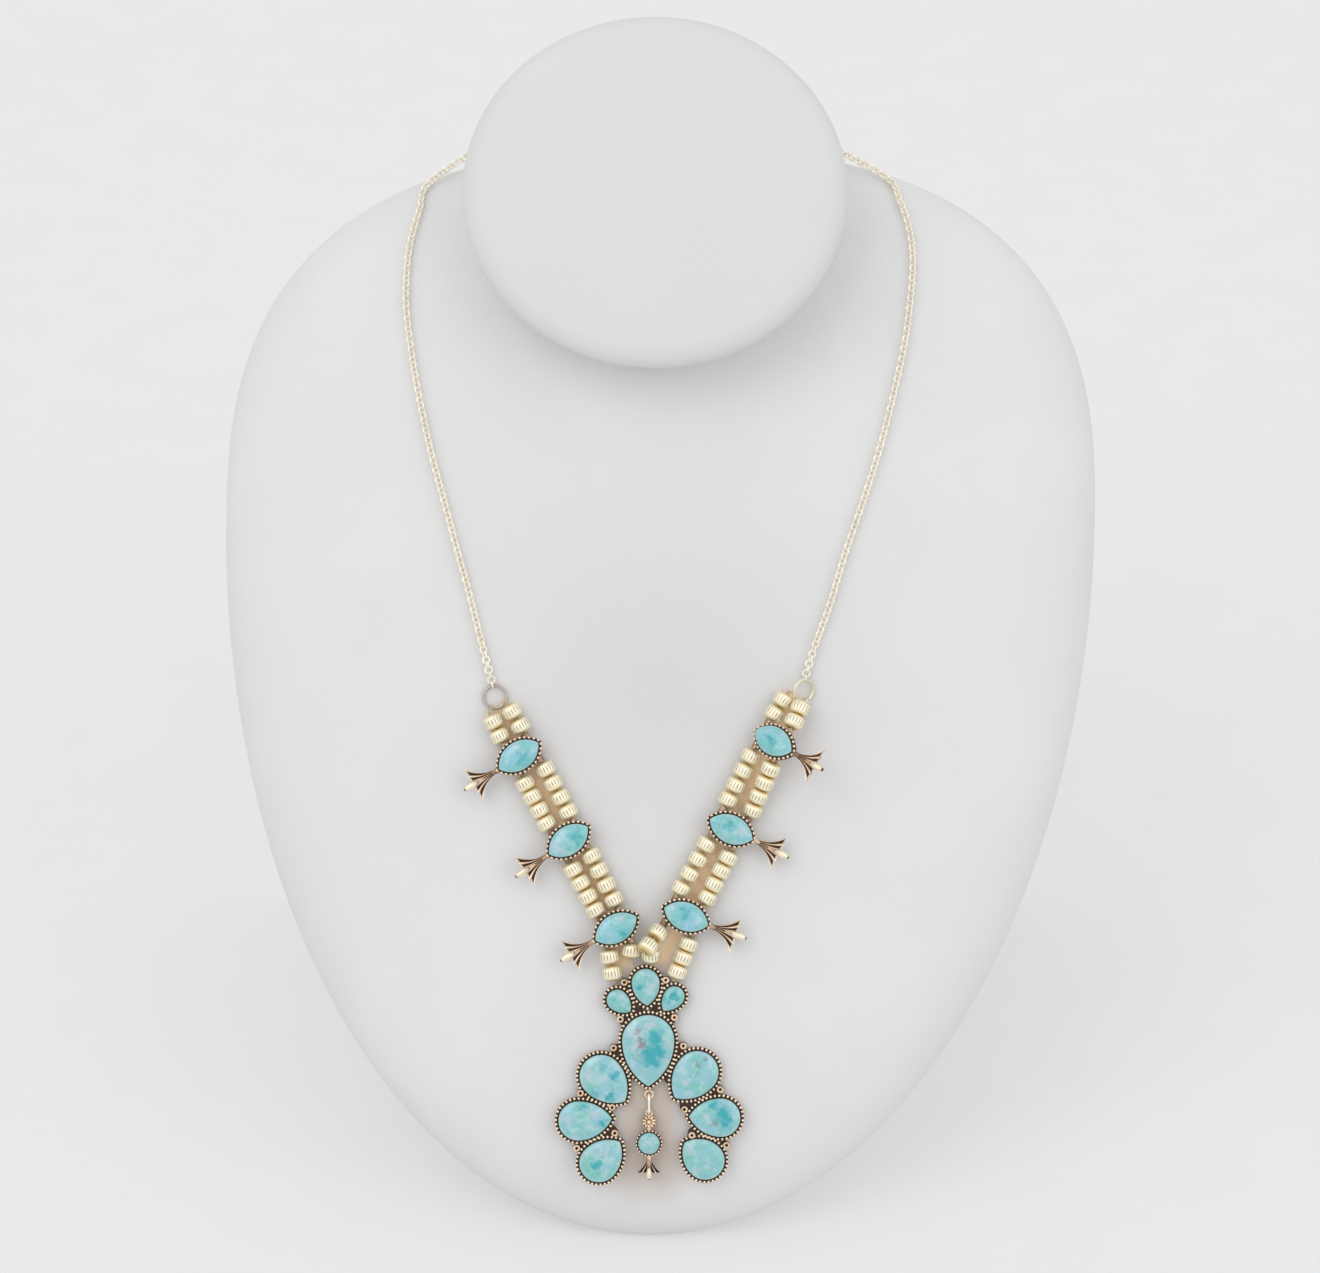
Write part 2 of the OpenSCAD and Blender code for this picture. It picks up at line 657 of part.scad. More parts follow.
module drop_setting() {
    color(old_gold)
        stand_up()
            pendant_frame()
                difference() {
                    union() {
                        translate([0, link_y - link_half - loop_r, rim_h / 2])
                            rotate_extrude()
                                translate([eye_r, 0])
                                    circle(d = link_wire);
                        translate([0, flower_y, flower_back])
                            linear_extrude(flower_t)
                                polygon([for (k = [0:4 * flower_petals - 1])
                                    let (turn = 90 * k / flower_petals)
                                    (flower_d / 2 - (k % 4 < 2 ? 0 : flower_dent))
                                        * [cos(turn), sin(turn)]]);
                        translate([0, flower_y, flower_back + flower_t])
                            sphere(d = flower_ball, $fn = 24);
                        drop_stem((flower_y + drop_y) / 2 + drop_rim_w);
                        translate([0, drop_y, 0])
                            cylinder(h = rim_h, r = drop_d / 2 + drop_rim_w);
                        drop_stem((neck_top_y + bell_y) / 2);
                        translate([0, bell_y, bell_back])
                            rotate([0, 0, -90])
                                blossom(bell_len, bell_w);
                    }
                    translate([0, drop_y, plate_t])
                        cylinder(h = stone_h, d = drop_d + 2 * gap);
                }
}
module drop_stone() {
    dome_r = drop_d * drop_dome_share;
    color(turquoise)
        stand_up()
            pendant_frame()
                translate([0, drop_y, 0])
                    intersection() {
                        translate([0, 0, plate_t + gap])
                            cylinder(h = stone_h, d = drop_d);
                        translate([0, 0, stone_h * drop_top - dome_r])
                            sphere(r = dome_r, $fn = 96);
                    }
}

module thread_left_outer() thread(LEFT_OUTER, JUMP_LEFT, LEFT_OUTER_END);
module thread_left_inner() thread(LEFT_INNER, JUMP_LEFT, LEFT_INNER_END);
module thread_right_inner() thread(RIGHT_INNER, JUMP_RIGHT, RIGHT_INNER_END);
module thread_right_outer() thread(RIGHT_OUTER, JUMP_RIGHT, RIGHT_OUTER_END);

neck_bust();
chain_left();
chain_right();
clasp();
jump_ring_left();
jump_ring_right();
beads_left_outer();
beads_left_inner();
beads_right_inner();
beads_right_outer();
thread_left_outer();
thread_left_inner();
thread_right_inner();
thread_right_outer();
station(0);  // station_left_1
station(1);  // station_left_2
station(2);  // station_left_3
station(3);  // station_right_1
station(4);  // station_right_2
station(5);  // station_right_3
marquise_stone(0);  // stone_left_1
marquise_stone(1);  // stone_left_2
marquise_stone(2);  // stone_left_3
marquise_stone(3);  // stone_right_1
marquise_stone(4);  // stone_right_2
marquise_stone(5);  // stone_right_3
naja_frame();
pear_stone(0);  // naja_stone_top
pear_stone(1);  // naja_stone_top_left
pear_stone(2);  // naja_stone_top_right
pear_stone(3);  // naja_stone_main
pear_stone(4);  // naja_stone_left_1
pear_stone(5);  // naja_stone_left_2
pear_stone(6);  // naja_stone_left_3
pear_stone(7);  // naja_stone_right_1
pear_stone(8);  // naja_stone_right_2
pear_stone(9);  // naja_stone_right_3
drop_link();
drop_setting();
drop_stone();
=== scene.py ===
import bpy
import numpy as np
from mathutils import Matrix


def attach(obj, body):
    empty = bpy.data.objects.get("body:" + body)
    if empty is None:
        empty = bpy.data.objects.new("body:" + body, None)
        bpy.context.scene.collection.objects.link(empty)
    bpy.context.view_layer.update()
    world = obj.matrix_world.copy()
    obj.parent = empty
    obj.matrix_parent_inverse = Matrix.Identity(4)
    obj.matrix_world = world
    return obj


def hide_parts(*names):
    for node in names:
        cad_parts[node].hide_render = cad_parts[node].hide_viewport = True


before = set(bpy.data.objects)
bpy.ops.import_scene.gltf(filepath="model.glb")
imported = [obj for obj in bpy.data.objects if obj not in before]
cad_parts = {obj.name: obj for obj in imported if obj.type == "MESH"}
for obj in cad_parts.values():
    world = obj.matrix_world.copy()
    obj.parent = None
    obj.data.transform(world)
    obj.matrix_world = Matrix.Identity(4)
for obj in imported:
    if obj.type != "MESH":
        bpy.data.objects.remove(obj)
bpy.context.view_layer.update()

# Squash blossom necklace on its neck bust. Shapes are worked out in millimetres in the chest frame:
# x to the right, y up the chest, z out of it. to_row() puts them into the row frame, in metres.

rng = np.random.default_rng(11)

# Bust
CHEST_HALF_W = 118
CHEST_LOWER_H = 195
CHEST_UPPER_H = 100
CHEST_RISE = 20
CHEST_LEAN = np.radians(30)
CHEST_MIDDLE = 1.5
CHEST_SKEW = 0.015
UPPER_POW = 2.6
DOME_POW = 7
BASE_DEPTH = 175
NECK_Y = CHEST_LOWER_H + 0.85 * CHEST_UPPER_H
NECK_HALF = np.array([47, 42.5])
FACE_HALF = np.array([51, 46.5])
NECK_REACH = 45
NECK_EDGE_R = 7
FACE_RISE = 0.9
# Along the neck, as shares of its reach
FLARE_START = 0.36
FLARE = 0.5
ROUNDING_START = 0.88
# Fineness of the cover's mesh, and the angle from which any edge is sharp
CHEST_COLUMNS = 400
CHEST_ROWS = 110
CROWDING = 1.5
WALL_ROWS = 8
NECK_COLUMNS = 160
SHARP_ANGLE = 48
# Painted shade on the cover, in spots as x, y, radius: the chest's darker middle and the pendant's
# shadow round it; how much painted shade darkens the neck; the painted shadow with a warm
# reflection in the pendant's opening, as its middle and half sizes
PAINTED_SHADE_SPOTS = [[0, 150, 48], [-1.6, 44, 23]]
NECK_PAINTED_SHADE = 0.65
OPENING = np.array([-1.6, 30])
OPENING_HALF = np.array([8.5, 18])
# Half width of the painted warm reflection of the gold between the strands
GOLD_BOUNCE_R = 2.6

# Chain, rings, beads
CHAIN_W = 2.4
CHAIN_CLEAR = 0.3
CHAIN_LIFT = CHAIN_W / 2 + CHAIN_CLEAR
LINK_WIRE = 0.52
LINK_PLAY = 0.02
LINKS_TO_SETTLE = 10
NAPE_LIFT = 7
CLASP_LEN = 9
CLASP_W = 3
JUMP_D = 6.8
JUMP_WIRE = 0.7
JUMP_OPENING = np.radians(-38)
JUMP_SLIT = 0.06
JUMP_RAISE = 0.35
BEAD_D = 5.3
BEAD_LEN = 3.9
BEAD_END_D = 2.8
BEAD_BORE = 1.2
THREAD_D = 0.8
THREAD_STEP = 0.8
THREAD_OUT = 0.25
EYE_R = 0.75
EYE_WIRE = 0.2
FLUTES = 18
FLUTE_W = 0.14
FLUTE_DEEP = 0.11

# Settings and stones
MARQUISE_LEN = 12.7
MARQUISE_W = 7.6
MARQUISE_RIM = 0.85
RIM_W = 1.1
RIM_H = 2
PLATE_T = 0.8
GAP = 0.12
STONE_H = 3.6
BLOSSOM_LEN = 8.6
BLOSSOM_W = 10.2
FAN_SPREAD = 2.3
GROOVES = 5
STEM_HALF = 0.6
BUD = np.array([2.35, 0.95, 0.9])
TUBE_D = 2.1
TUBE_SUNK = 0.15
# Granules: how far outside the stone, pitch, radii, height
STATION_GRAINS = 0.53, 1.27, [0.43, 0.46, 0.5], 1.4
NAJA_GRAINS = 0.69, 1.15, [0.53, 0.41, 0.5], 1.45
DROP_GRAINS = 0.45, 0.95, [0.36, 0.34, 0.4], 1.5

# Routes and places, as in the part's source
CHAINS = {
    "left": [
        [-44, 151.5], [-46.5, 161], [-50, 175], [-52.5, 184], [-56, 197], [-60, 212], [-63, 226],
        [-65, 237.5], [-66.5, 250], [-66.5, 259], [-65.5, 268], [-63, 277], [-60.5, 284]],
    "right": [
        [40.5, 152.5], [43, 160.5], [47, 171.5], [51, 185], [56, 199.5], [60.5, 214], [64, 228],
        [67, 242], [68.5, 254], [69, 264], [68, 272], [65.5, 279.5], [62, 285.5]]}
NAPE_START = 22
NAPE_STEPS = 13
# Bead runs: first bead x, y, last bead x, y, beads, lift of first, lift of last
RUNS = {
    "left_outer": [
        [-43.3, 139.7, -41.5, 135.9, 2, 0, 0], [-34.7, 123.2, -29, 112.5, 4, 0, 0],
        [-21.9, 100.2, -15.9, 89.3, 4, 0, 0], [-12.2, 76.8, -11.4, 72.4, 2, 0, 0]],
    "left_inner": [
        [-38.3, 142.4, -36.1, 138.5, 2, 0, 0], [-29.3, 127, -23.3, 115.6, 4, 0, 0],
        [-17, 103.8, -11, 92.1, 4, 0, 0], [-6.35, 78.9, -6.45, 77.9, 1, 0, 0]],
    "right_inner": [
        [34.3, 145.5, 32, 141.9, 2, 0, 0], [25.6, 130.4, 19.6, 118.8, 4, 0, 0],
        [13.8, 106.8, 7, 95, 4, 0, 0], [0.8, 83.2, -1.8, 79.7, 2, 2, 4.4],
        [-1, 78, -1, 76.7, 1, 0.9, 0.5]],
    "right_outer": [
        [38.8, 143.35, 37.15, 139.75, 2, 2, 3], [30.9, 127.2, 26.1, 116.1, 4, 3, 0],
        [19.5, 103.4, 13.9, 92.6, 4, 0, 0], [8.9, 80.2, 5.9, 72.8, 3, 0, 0]]}
STRING_ENDS = {
    "left_outer": [-11.1, 69.9], "left_inner": [-6, 74],
    "right_inner": [-1.1, 75.1], "right_outer": [5.1, 70.9]}
# Jump rings: centre x, y, tilt, turn
JUMP = {"left": [-42.9, 146.3, 0, 0], "right": [39.8, 148, 35, -20]}
# Stations: x, y, turn of the stone, side of the blossom, turn of the blossom
STATIONS = {
    "left_1": [-36.4, 130.6, 34, -1, 211], "left_2": [-23.1, 108, 36, -1, 214],
    "left_3": [-10.4, 84.5, 30, -1, 211], "right_1": [32.5, 134.1, -31, 1, -30],
    "right_2": [20.3, 111, -25.6, 1, -27], "right_3": [8.2, 87.7, -22, 1, -19]}
# Pendant: its middle on the chest. All below is in its own frame, from that middle
PENDANT = [-1.6, 53.5]
PENDANT_CLEAR = 0.45
PENDANT_TILT = 4.5
# Its stones: round end x, y, length, width, direction of the point
NAJA = {
    "top": [-0.9, 16.5, 10, 7.5, -86], "top_left": [-8.5, 11.8, 7.6, 5.7, -41],
    "top_right": [6.8, 12.8, 7.7, 5.5, -128], "main": [-0.2, 0.8, 19.3, 14, -90],
    "left_1": [-12.8, -8.8, 15.1, 11.6, -47], "left_2": [-19, -20.9, 14.4, 10.6, 4],
    "left_3": [-13.5, -32.3, 13.3, 10.4, 46], "right_1": [12.9, -7.7, 14.9, 11.5, -131],
    "right_2": [19.3, -20, 13.8, 10.4, 178], "right_3": [15.1, -31.6, 12.6, 10.4, 139]}
ROSETTES = [
    [-6.6, 16.6], [4.5, 17.2], [-7.7, 6.6], [6.8, 7.1], [-9.5, -1.1], [9.2, -0.6],
    [-18.4, -13.4], [-19.4, -28.3], [-9.2, -24.2], [19.1, -12.4], [20.8, -27.5],
    [9.5, -17.8], [-9.9, -17.2], [11.5, -24.8]]
# Dark fills between the settings: x, y, diameter
FILLS = [
    [-5, 14.6, 4.2], [3.4, 14.8, 4.2], [-4.6, 9.4, 5.4], [3.6, 9.6, 5.4], [-6.4, 6.4, 3.6],
    [5.5, 6.8, 3.6], [-8.2, -2, 3.6], [7.8, -1.8, 3.6], [-7, -8.6, 5.4], [6.4, -8.6, 5.4],
    [-16.6, -14, 4], [-10.6, -16.4, 4.4], [-17.4, -27.4, 4.2], [-10.2, -24.2, 3.8],
    [17.3, -13, 4], [10.4, -16.8, 4.4], [18.6, -26.8, 4.2], [12.2, -24.6, 3.8]]
FILL_H = 1.3
# Rings: mean radius, wire radius
ROSETTE_RING = 0.66, 0.31
DROP_RING = 0.84, 0.28
LOOP_R = 1.05
LOOP_WIRE = 0.35
LOOP_Y = -13.8
LINK_Y = -16.4
LINK_HALF = 1.45
LINK_ROUND = 0.38
FLOWER_Y = -21.3
PETALS = 10
PETAL_OUT = 1.32
ROD_HALF = 1.5
DROP_Y = -27
DROP_D = 5.8
DROP_RIM_W = 0.6
BELL_ROD_Y = -30.4
BELL_Y = -31.6
BELL_LEN = 3.9
BELL_W = 7.1
BELL_BUD = 0.75
BELL_SPREAD = 1.5


# Solids: points in millimetres, faces by point number, four shading tones a point
class Solid:
    def __init__(self, points, quads, triangles=(), tone=None, caps=()):
        self.points = np.asarray(points, float)
        self.quads = np.asarray(quads, int).reshape(-1, 4)
        self.triangles = np.asarray(triangles, int).reshape(-1, 3)
        self.caps = [np.asarray(cap, int) for cap in caps]
        self.tone = np.zeros((len(self.points), 4)) if tone is None else np.array(tone, float)

    def outward(self):
        """Turns the faces round if the volume that they enclose comes out negative."""
        faces = np.concatenate([self.quads[:, :3], self.quads[:, [0, 2, 3]], self.triangles])
        a, b, c = self.points[faces].transpose(1, 0, 2)
        if np.sum(a * np.cross(b, c)) < 0:
            self.quads = self.quads[:, ::-1]
            self.triangles = self.triangles[:, ::-1]
        return self

    def moved(self, axes, origin):
        """The solid with its x, y and z along the columns of axes, from origin."""
        return Solid(self.points @ np.asarray(axes, float).T + origin, self.quads, self.triangles,
                     self.tone, self.caps)

    def at(self, x, y, z):
        """The solid moved without a turn."""
        return self.moved(np.eye(3), [x, y, z])

    def shaded(self, dark, bright=0):
        """Sets its dark and bright tones."""
        self.tone[:, 0] = dark
        self.tone[:, 1] = bright
        return self


def joined(solids):
    """All solids as one, their face numbers shifted by the points before them."""
    starts = np.cumsum([0] + [len(one.points) for one in solids])
    pairs = list(zip(solids, starts))
    return Solid(
        np.concatenate([one.points for one in solids]),
        np.concatenate([one.quads + start for one, start in pairs]),
        np.concatenate([one.triangles + start for one, start in pairs]),
        np.concatenate([one.tone for one in solids]),
        [cap + start for one, start in pairs for cap in one.caps])


def repeated(solid, axes, origins):
    """Copies of the solid, one a frame: axes (k, 3, 3) with x, y, z as columns, origins (k, 3)."""
    axes, origins = np.asarray(axes, float), np.asarray(origins, float)
    points = np.einsum("kij,nj->kni", axes, solid.points) + origins[:, None]
    shift = (np.arange(len(origins)) * len(solid.points))[:, None, None]
    return Solid(points.reshape(-1, 3), (solid.quads + shift).reshape(-1, 4),
                 (solid.triangles + shift).reshape(-1, 3), np.tile(solid.tone, (len(origins), 1)))


def shell(rows, tone=None, ring=False):
    """Skin over rows of points (rows, columns, 3), joined across its columns. Each end is closed by
    a fan to the mean of its row; with ring the last row meets the first instead."""
    count, columns = rows.shape[:2]
    index = np.arange(count * columns).reshape(count, columns)
    low = index if ring else index[:-1]
    high = np.roll(index, -1, axis=0) if ring else index[1:]
    quads = np.stack([low, np.roll(low, -1, 1), np.roll(high, -1, 1), high], -1)
    points = rows.reshape(-1, 3)
    tones = np.broadcast_to(np.zeros(4) if tone is None else tone, (count, columns, 4))
    flat = tones.reshape(-1, 4)
    if ring:
        return Solid(points, quads, tone=flat).outward()
    ends = np.stack([rows[0].mean(0), rows[-1].mean(0)])
    first, last = index[0], index[-1]
    fans = np.concatenate([
        np.stack([np.full(columns, len(points)), np.roll(first, -1), first], -1),
        np.stack([np.full(columns, len(points) + 1), last, np.roll(last, -1)], -1)])
    return Solid(np.concatenate([points, ends]), quads, fans,
                 np.concatenate([flat, tones[0, :1], tones[-1, :1]])).outward()


def unit(v):
    """Vectors at length 1."""
    return v / np.linalg.norm(v, axis=-1, keepdims=True)


def around(count):
    """Equal steps of one whole turn."""
    return np.linspace(0, 2 * np.pi, count, endpoint=False)


def circling(turn, radius=1, z=0):
    """Points round z: the cosine and sine of each turn times a radius, at height z."""
    turn, radius, z = np.broadcast_arrays(turn, radius, z)
    return np.stack([radius * np.cos(turn), radius * np.sin(turn), z], -1)


def turned(axis, angle):
    """Matrix of a turn about axis 0, 1 or 2, by an angle in degrees."""
    c, s = np.cos(np.radians(angle)), np.sin(np.radians(angle))
    a, b = (axis + 1) % 3, (axis + 2) % 3
    matrix = np.eye(3)
    matrix[a, a] = matrix[b, b] = c
    matrix[a, b], matrix[b, a] = -s, s
    return matrix


def lengths(points):
    """Way along the path up to each of its points."""
    return np.concatenate([[0], np.cumsum(np.linalg.norm(np.diff(points, axis=0), axis=1))])


def points_at(points, length, cuts):
    """Points of the path where its length reaches each cut."""
    return np.stack([np.interp(cuts, length, column) for column in np.transpose(points)], -1)


def frames_along(directions, up=(0, 0, 1)):
    """Axes (k, 3, 3) with z along each direction and y as near to up as a square frame allows."""
    z = unit(np.asarray(directions, float))
    x = unit(np.cross(np.broadcast_to(up, z.shape), z))
    return np.stack([x, np.cross(z, x), z], -1)


def tube(path, radius, sides, flat=1, up=(0, 0, 1), ring=False):
    """Round section carried along a path: radius may change from point to point, and flat scales
    the section along up."""
    path = np.asarray(path, float)
    ahead = np.roll(path, -1, 0) - np.roll(path, 1, 0) if ring else np.gradient(path, axis=0)
    axes = frames_along(ahead, up)
    radius = np.broadcast_to(radius, len(path))[:, None, None]
    section = circling(around(sides)) * [1, flat, 0]
    return shell(path[:, None] + radius * np.einsum("kij,nj->kni", axes, section), ring=ring)


def torus(mean_r, wire_r, turns, sides):
    """Ring in the plane of x and y."""
    return tube(circling(around(turns), mean_r), wire_r, sides, ring=True)


def ball(radii, columns, rows):
    """Ellipsoid: rings of points at equal steps of latitude."""
    latitude = np.linspace(-np.pi / 2, np.pi / 2, rows + 2)[1:-1, None]
    solid = shell(circling(around(columns), np.cos(latitude), np.sin(latitude)))
    solid.points[-2:] = [[0, 0, -1], [0, 0, 1]]
    solid.points *= radii
    return solid


def smooth_path(points, step):
    """Curve through points, by cubics that leave each one along the line between its neighbours,
    then cut at equal steps of its length."""
    p = np.asarray(points, float)
    p = np.concatenate([[2 * p[0] - p[1]], p, [2 * p[-1] - p[-2]]])
    a, b, c, d = p[:-3, None], p[1:-2, None], p[2:-1, None], p[3:, None]
    t = np.linspace(0, 1, 24, endpoint=False)[None, :, None]
    dense = 0.5 * (2 * b + (c - a) * t + (2 * a - 5 * b + 4 * c - d) * t ** 2
                   + (3 * b - a - 3 * c + d) * t ** 3)
    dense = np.concatenate([dense.reshape(-1, 3), p[-2:-1]])
    length = lengths(dense)
    cuts = np.linspace(0, length[-1], max(2, int(round(length[-1] / step)) + 1))
    return points_at(dense, length, cuts)


def to_row(points):
    """Stands the chest frame up: leant back over the floor, base middle at the origin. Metres."""
    x, y, z = points.T
    low, high = np.sin(CHEST_LEAN), np.cos(CHEST_LEAN)
    return np.stack([x, low * y - high * z - BASE_DEPTH / 2, high * y + low * z], -1) / 1000


def linked(name, data):
    """An object in the scene for a mesh, lamp or camera."""
    obj = bpy.data.objects.new(name, data)
    bpy.context.scene.collection.objects.link(obj)
    return obj


def piece(name, solids, material, nodes):
    """One mesh from the solids, riding on the root and standing for these CAD nodes."""
    one = joined(solids)
    mesh = bpy.data.meshes.new(name)
    points = to_row(one.points)
    corners = np.concatenate([one.quads.ravel(), one.triangles.ravel(), *one.caps]).astype(np.int32)
    sizes = [4] * len(one.quads) + [3] * len(one.triangles) + [len(cap) for cap in one.caps]
    starts = np.concatenate([[0], np.cumsum(sizes)[:-1]]).astype(np.int32)
    mesh.vertices.add(len(points))
    mesh.vertices.foreach_set("co", points.ravel())
    mesh.loops.add(len(corners))
    mesh.loops.foreach_set("vertex_index", corners)
    mesh.polygons.add(len(starts))
    mesh.polygons.foreach_set("loop_start", starts)
    mesh.update(calc_edges=True)
    tone = mesh.attributes.new("tone", "FLOAT_COLOR", "POINT")
    tone.data.foreach_set("color", one.tone.ravel())
    mesh.shade_smooth()
    mesh.set_sharp_from_angle(angle=np.radians(SHARP_ANGLE))
    mesh.materials.append(material)
    obj = linked(name, mesh)
    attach(obj, "root")
    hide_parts(*nodes)


# Shader sockets with the usual operators: each one adds a Math node
class Value:
    def __init__(self, shader, socket):
        self.shader = shader
        self.socket = socket

    def math(self, operation, *others, clamp=False):
        return self.shader.node("Math", {"operation": operation, "use_clamp": clamp},
                                dict(enumerate((self, *others))))

    def __add__(self, other):
        return self.math("ADD", other)

    def __sub__(self, other):
        return self.math("SUBTRACT", other)

    def __mul__(self, other):
        return self.math("MULTIPLY", other)

    def __rsub__(self, other):
        return self.shader.node("Math", {"operation": "SUBTRACT"}, {0: other, 1: self})

    __radd__ = __add__
    __rmul__ = __mul__

    def step(self, low, high):
        """0 below low, 1 above high, smooth between."""
        return self.shader.node("MapRange", {"interpolation_type": "SMOOTHSTEP"},
                                {"Value": self, "From Min": low, "From Max": high})

    def clamped(self):
        return self.math("ADD", 0, clamp=True)


class Shader:
    """A material's nodes: node() adds any kind, with its settings and the values of its sockets."""

    def __init__(self, name):
        self.material = bpy.data.materials.new(name)
        self.material.use_nodes = True
        self.nodes = self.material.node_tree.nodes
        self.links = self.material.node_tree.links
        self.surface = next(n for n in self.nodes if n.type == "BSDF_PRINCIPLED")
        self.place = self.node("TexCoord", out="Object")

    def node(self, kind, settings=None, inputs=None, out=0):
        node = self.nodes.new("ShaderNode" + kind)
        for key, value in (settings or {}).items():
            setattr(node, key, value)
        self.feed(node, inputs or {})
        return Value(self, node.outputs[out])

    def feed(self, node, inputs):
        for key, value in inputs.items():
            if isinstance(value, Value):
                self.links.new(value.socket, node.inputs[key])
            else:
                node.inputs[key].default_value = value

    def noise(self, scale, detail=3, roughness=0.5, distortion=0, shift=(0, 0, 0)):
        """Noise with features about 1 / scale metres across."""
        place = self.node("Mapping", {}, {"Vector": self.place, "Location": shift})
        return self.node("TexNoise", {}, {
            "Vector": place, "Scale": scale, "Detail": detail, "Roughness": roughness,
            "Distortion": distortion}, "Fac")

    def tone(self):
        """The mesh's own four shading tones."""
        kind = {"attribute_type": "GEOMETRY", "attribute_name": "tone"}
        colour = self.node("Attribute", kind, {}, "Color")
        fourth = self.node("Attribute", kind, {}, "Alpha")
        red = self.node("SeparateColor", {}, {0: colour})
        return [Value(self, socket) for socket in red.socket.node.outputs] + [fourth]

    def mix(self, share, a, b):
        """Colour a where share is 0, b where it is 1."""
        node = self.nodes.new("ShaderNodeMix")
        node.data_type = "RGBA"
        node.clamp_factor = True
        self.feed(node, {"Factor": share})
        for socket, value in ((node.inputs[6], a), (node.inputs[7], b)):
            if isinstance(value, Value):
                self.links.new(value.socket, socket)
            else:
                socket.default_value = (*value, 1)
        return Value(self, node.outputs[2])

    def bump(self, height, strength, distance):
        return self.node("Bump", {}, {
            "Height": height, "Strength": strength, "Distance": distance})

    def finish(self, **inputs):
        """Feeds the surface, whose socket names are written with _ for a space."""
        self.feed(self.surface, {key.replace("_", " "): value for key, value in inputs.items()})
        return self.material


def bust_cover():
    """Matte white cover: a fine leather grain, the faintest mottling, painted shade on its middle
    and round the pendant, a painted warm reflection of the gold between the strands and a painted
    brown shadow in the pendant's opening."""
    s = Shader("bust_cover")
    cells = s.node("TexVoronoi", {"feature": "SMOOTH_F1"},
                   {"Vector": s.place, "Scale": 900, "Smoothness": 0.6}, "Distance")
    mottle = s.noise(28)
    warm, painted_shade, brown, _ = s.tone()
    colour = s.mix(mottle.step(0.35, 0.7), (0.69, 0.69, 0.695), (0.71, 0.71, 0.715))
    # Painted shade: darker on the chest's middle, round the pendant and on the neck
    colour = s.mix(painted_shade, colour, (0.63, 0.63, 0.635))
    # Painted brown shadow, warm from the gold's reflection, in the pendant's opening
    colour = s.mix(brown, colour, (0.52, 0.45, 0.39))
    # Painted warm reflection of the gold beads between the strands
    colour = s.mix((warm * 1.15).clamped(), colour, (1, 0.77, 0.53))
    return s.finish(Base_Color=colour, Roughness=0.5 + 0.1 * s.noise(500, 2),
                    Normal=s.bump(cells, 0.12, 0.0002))


def polished_gold(name, colour, shade, roughness, metal):
    """Polished metal with painted shade: groove and end tones darken it towards a brown shade."""
    s = Shader(name)
    dark, deep, _, _ = s.tone()
    wear = s.noise(350)
    bright = s.mix(wear.step(0.4, 0.75), colour, tuple(0.9 * c for c in colour))
    # Painted shade: the end tone towards the brown shade, the groove tone towards dark brown
    warm = s.mix(deep, bright, shade)
    colour = s.mix(dark, warm, (0.16, 0.1, 0.045))
    return s.finish(Base_Color=colour, Metallic=metal, Roughness=roughness + 0.12 * wear,
                    Normal=s.bump(s.noise(900, 2), 0.08, 0.0001))


def antique_gold():
    """Pinkish old gold on what stands proud, brown black in its recesses. The tones: recess, and
    the cream of what is rubbed brightest, which is partly a painted highlight."""
    s = Shader("antique_gold")
    dark, cream, _, _ = s.tone()
    wear = s.noise(420, 4)
    bright = s.mix(wear.step(0.35, 0.7), (0.88, 0.67, 0.49), (0.7, 0.47, 0.31))
    # Cream: rubbed high points, and partly a painted highlight on them
    bright = s.mix(cream, bright, (0.95, 0.87, 0.68))
    mask = (dark * 1.35 + wear * 0.5 - 0.4).step(0.1, 0.7)
    colour = s.mix(mask, bright, (0.055, 0.03, 0.02))
    return s.finish(Base_Color=colour, Metallic=(0.9 - 0.25 * cream - mask * 0.5).clamped(),
                    Roughness=0.3 + 0.3 * mask + 0.1 * wear,
                    Normal=s.bump(s.noise(1200, 2), 0.15, 0.0001))


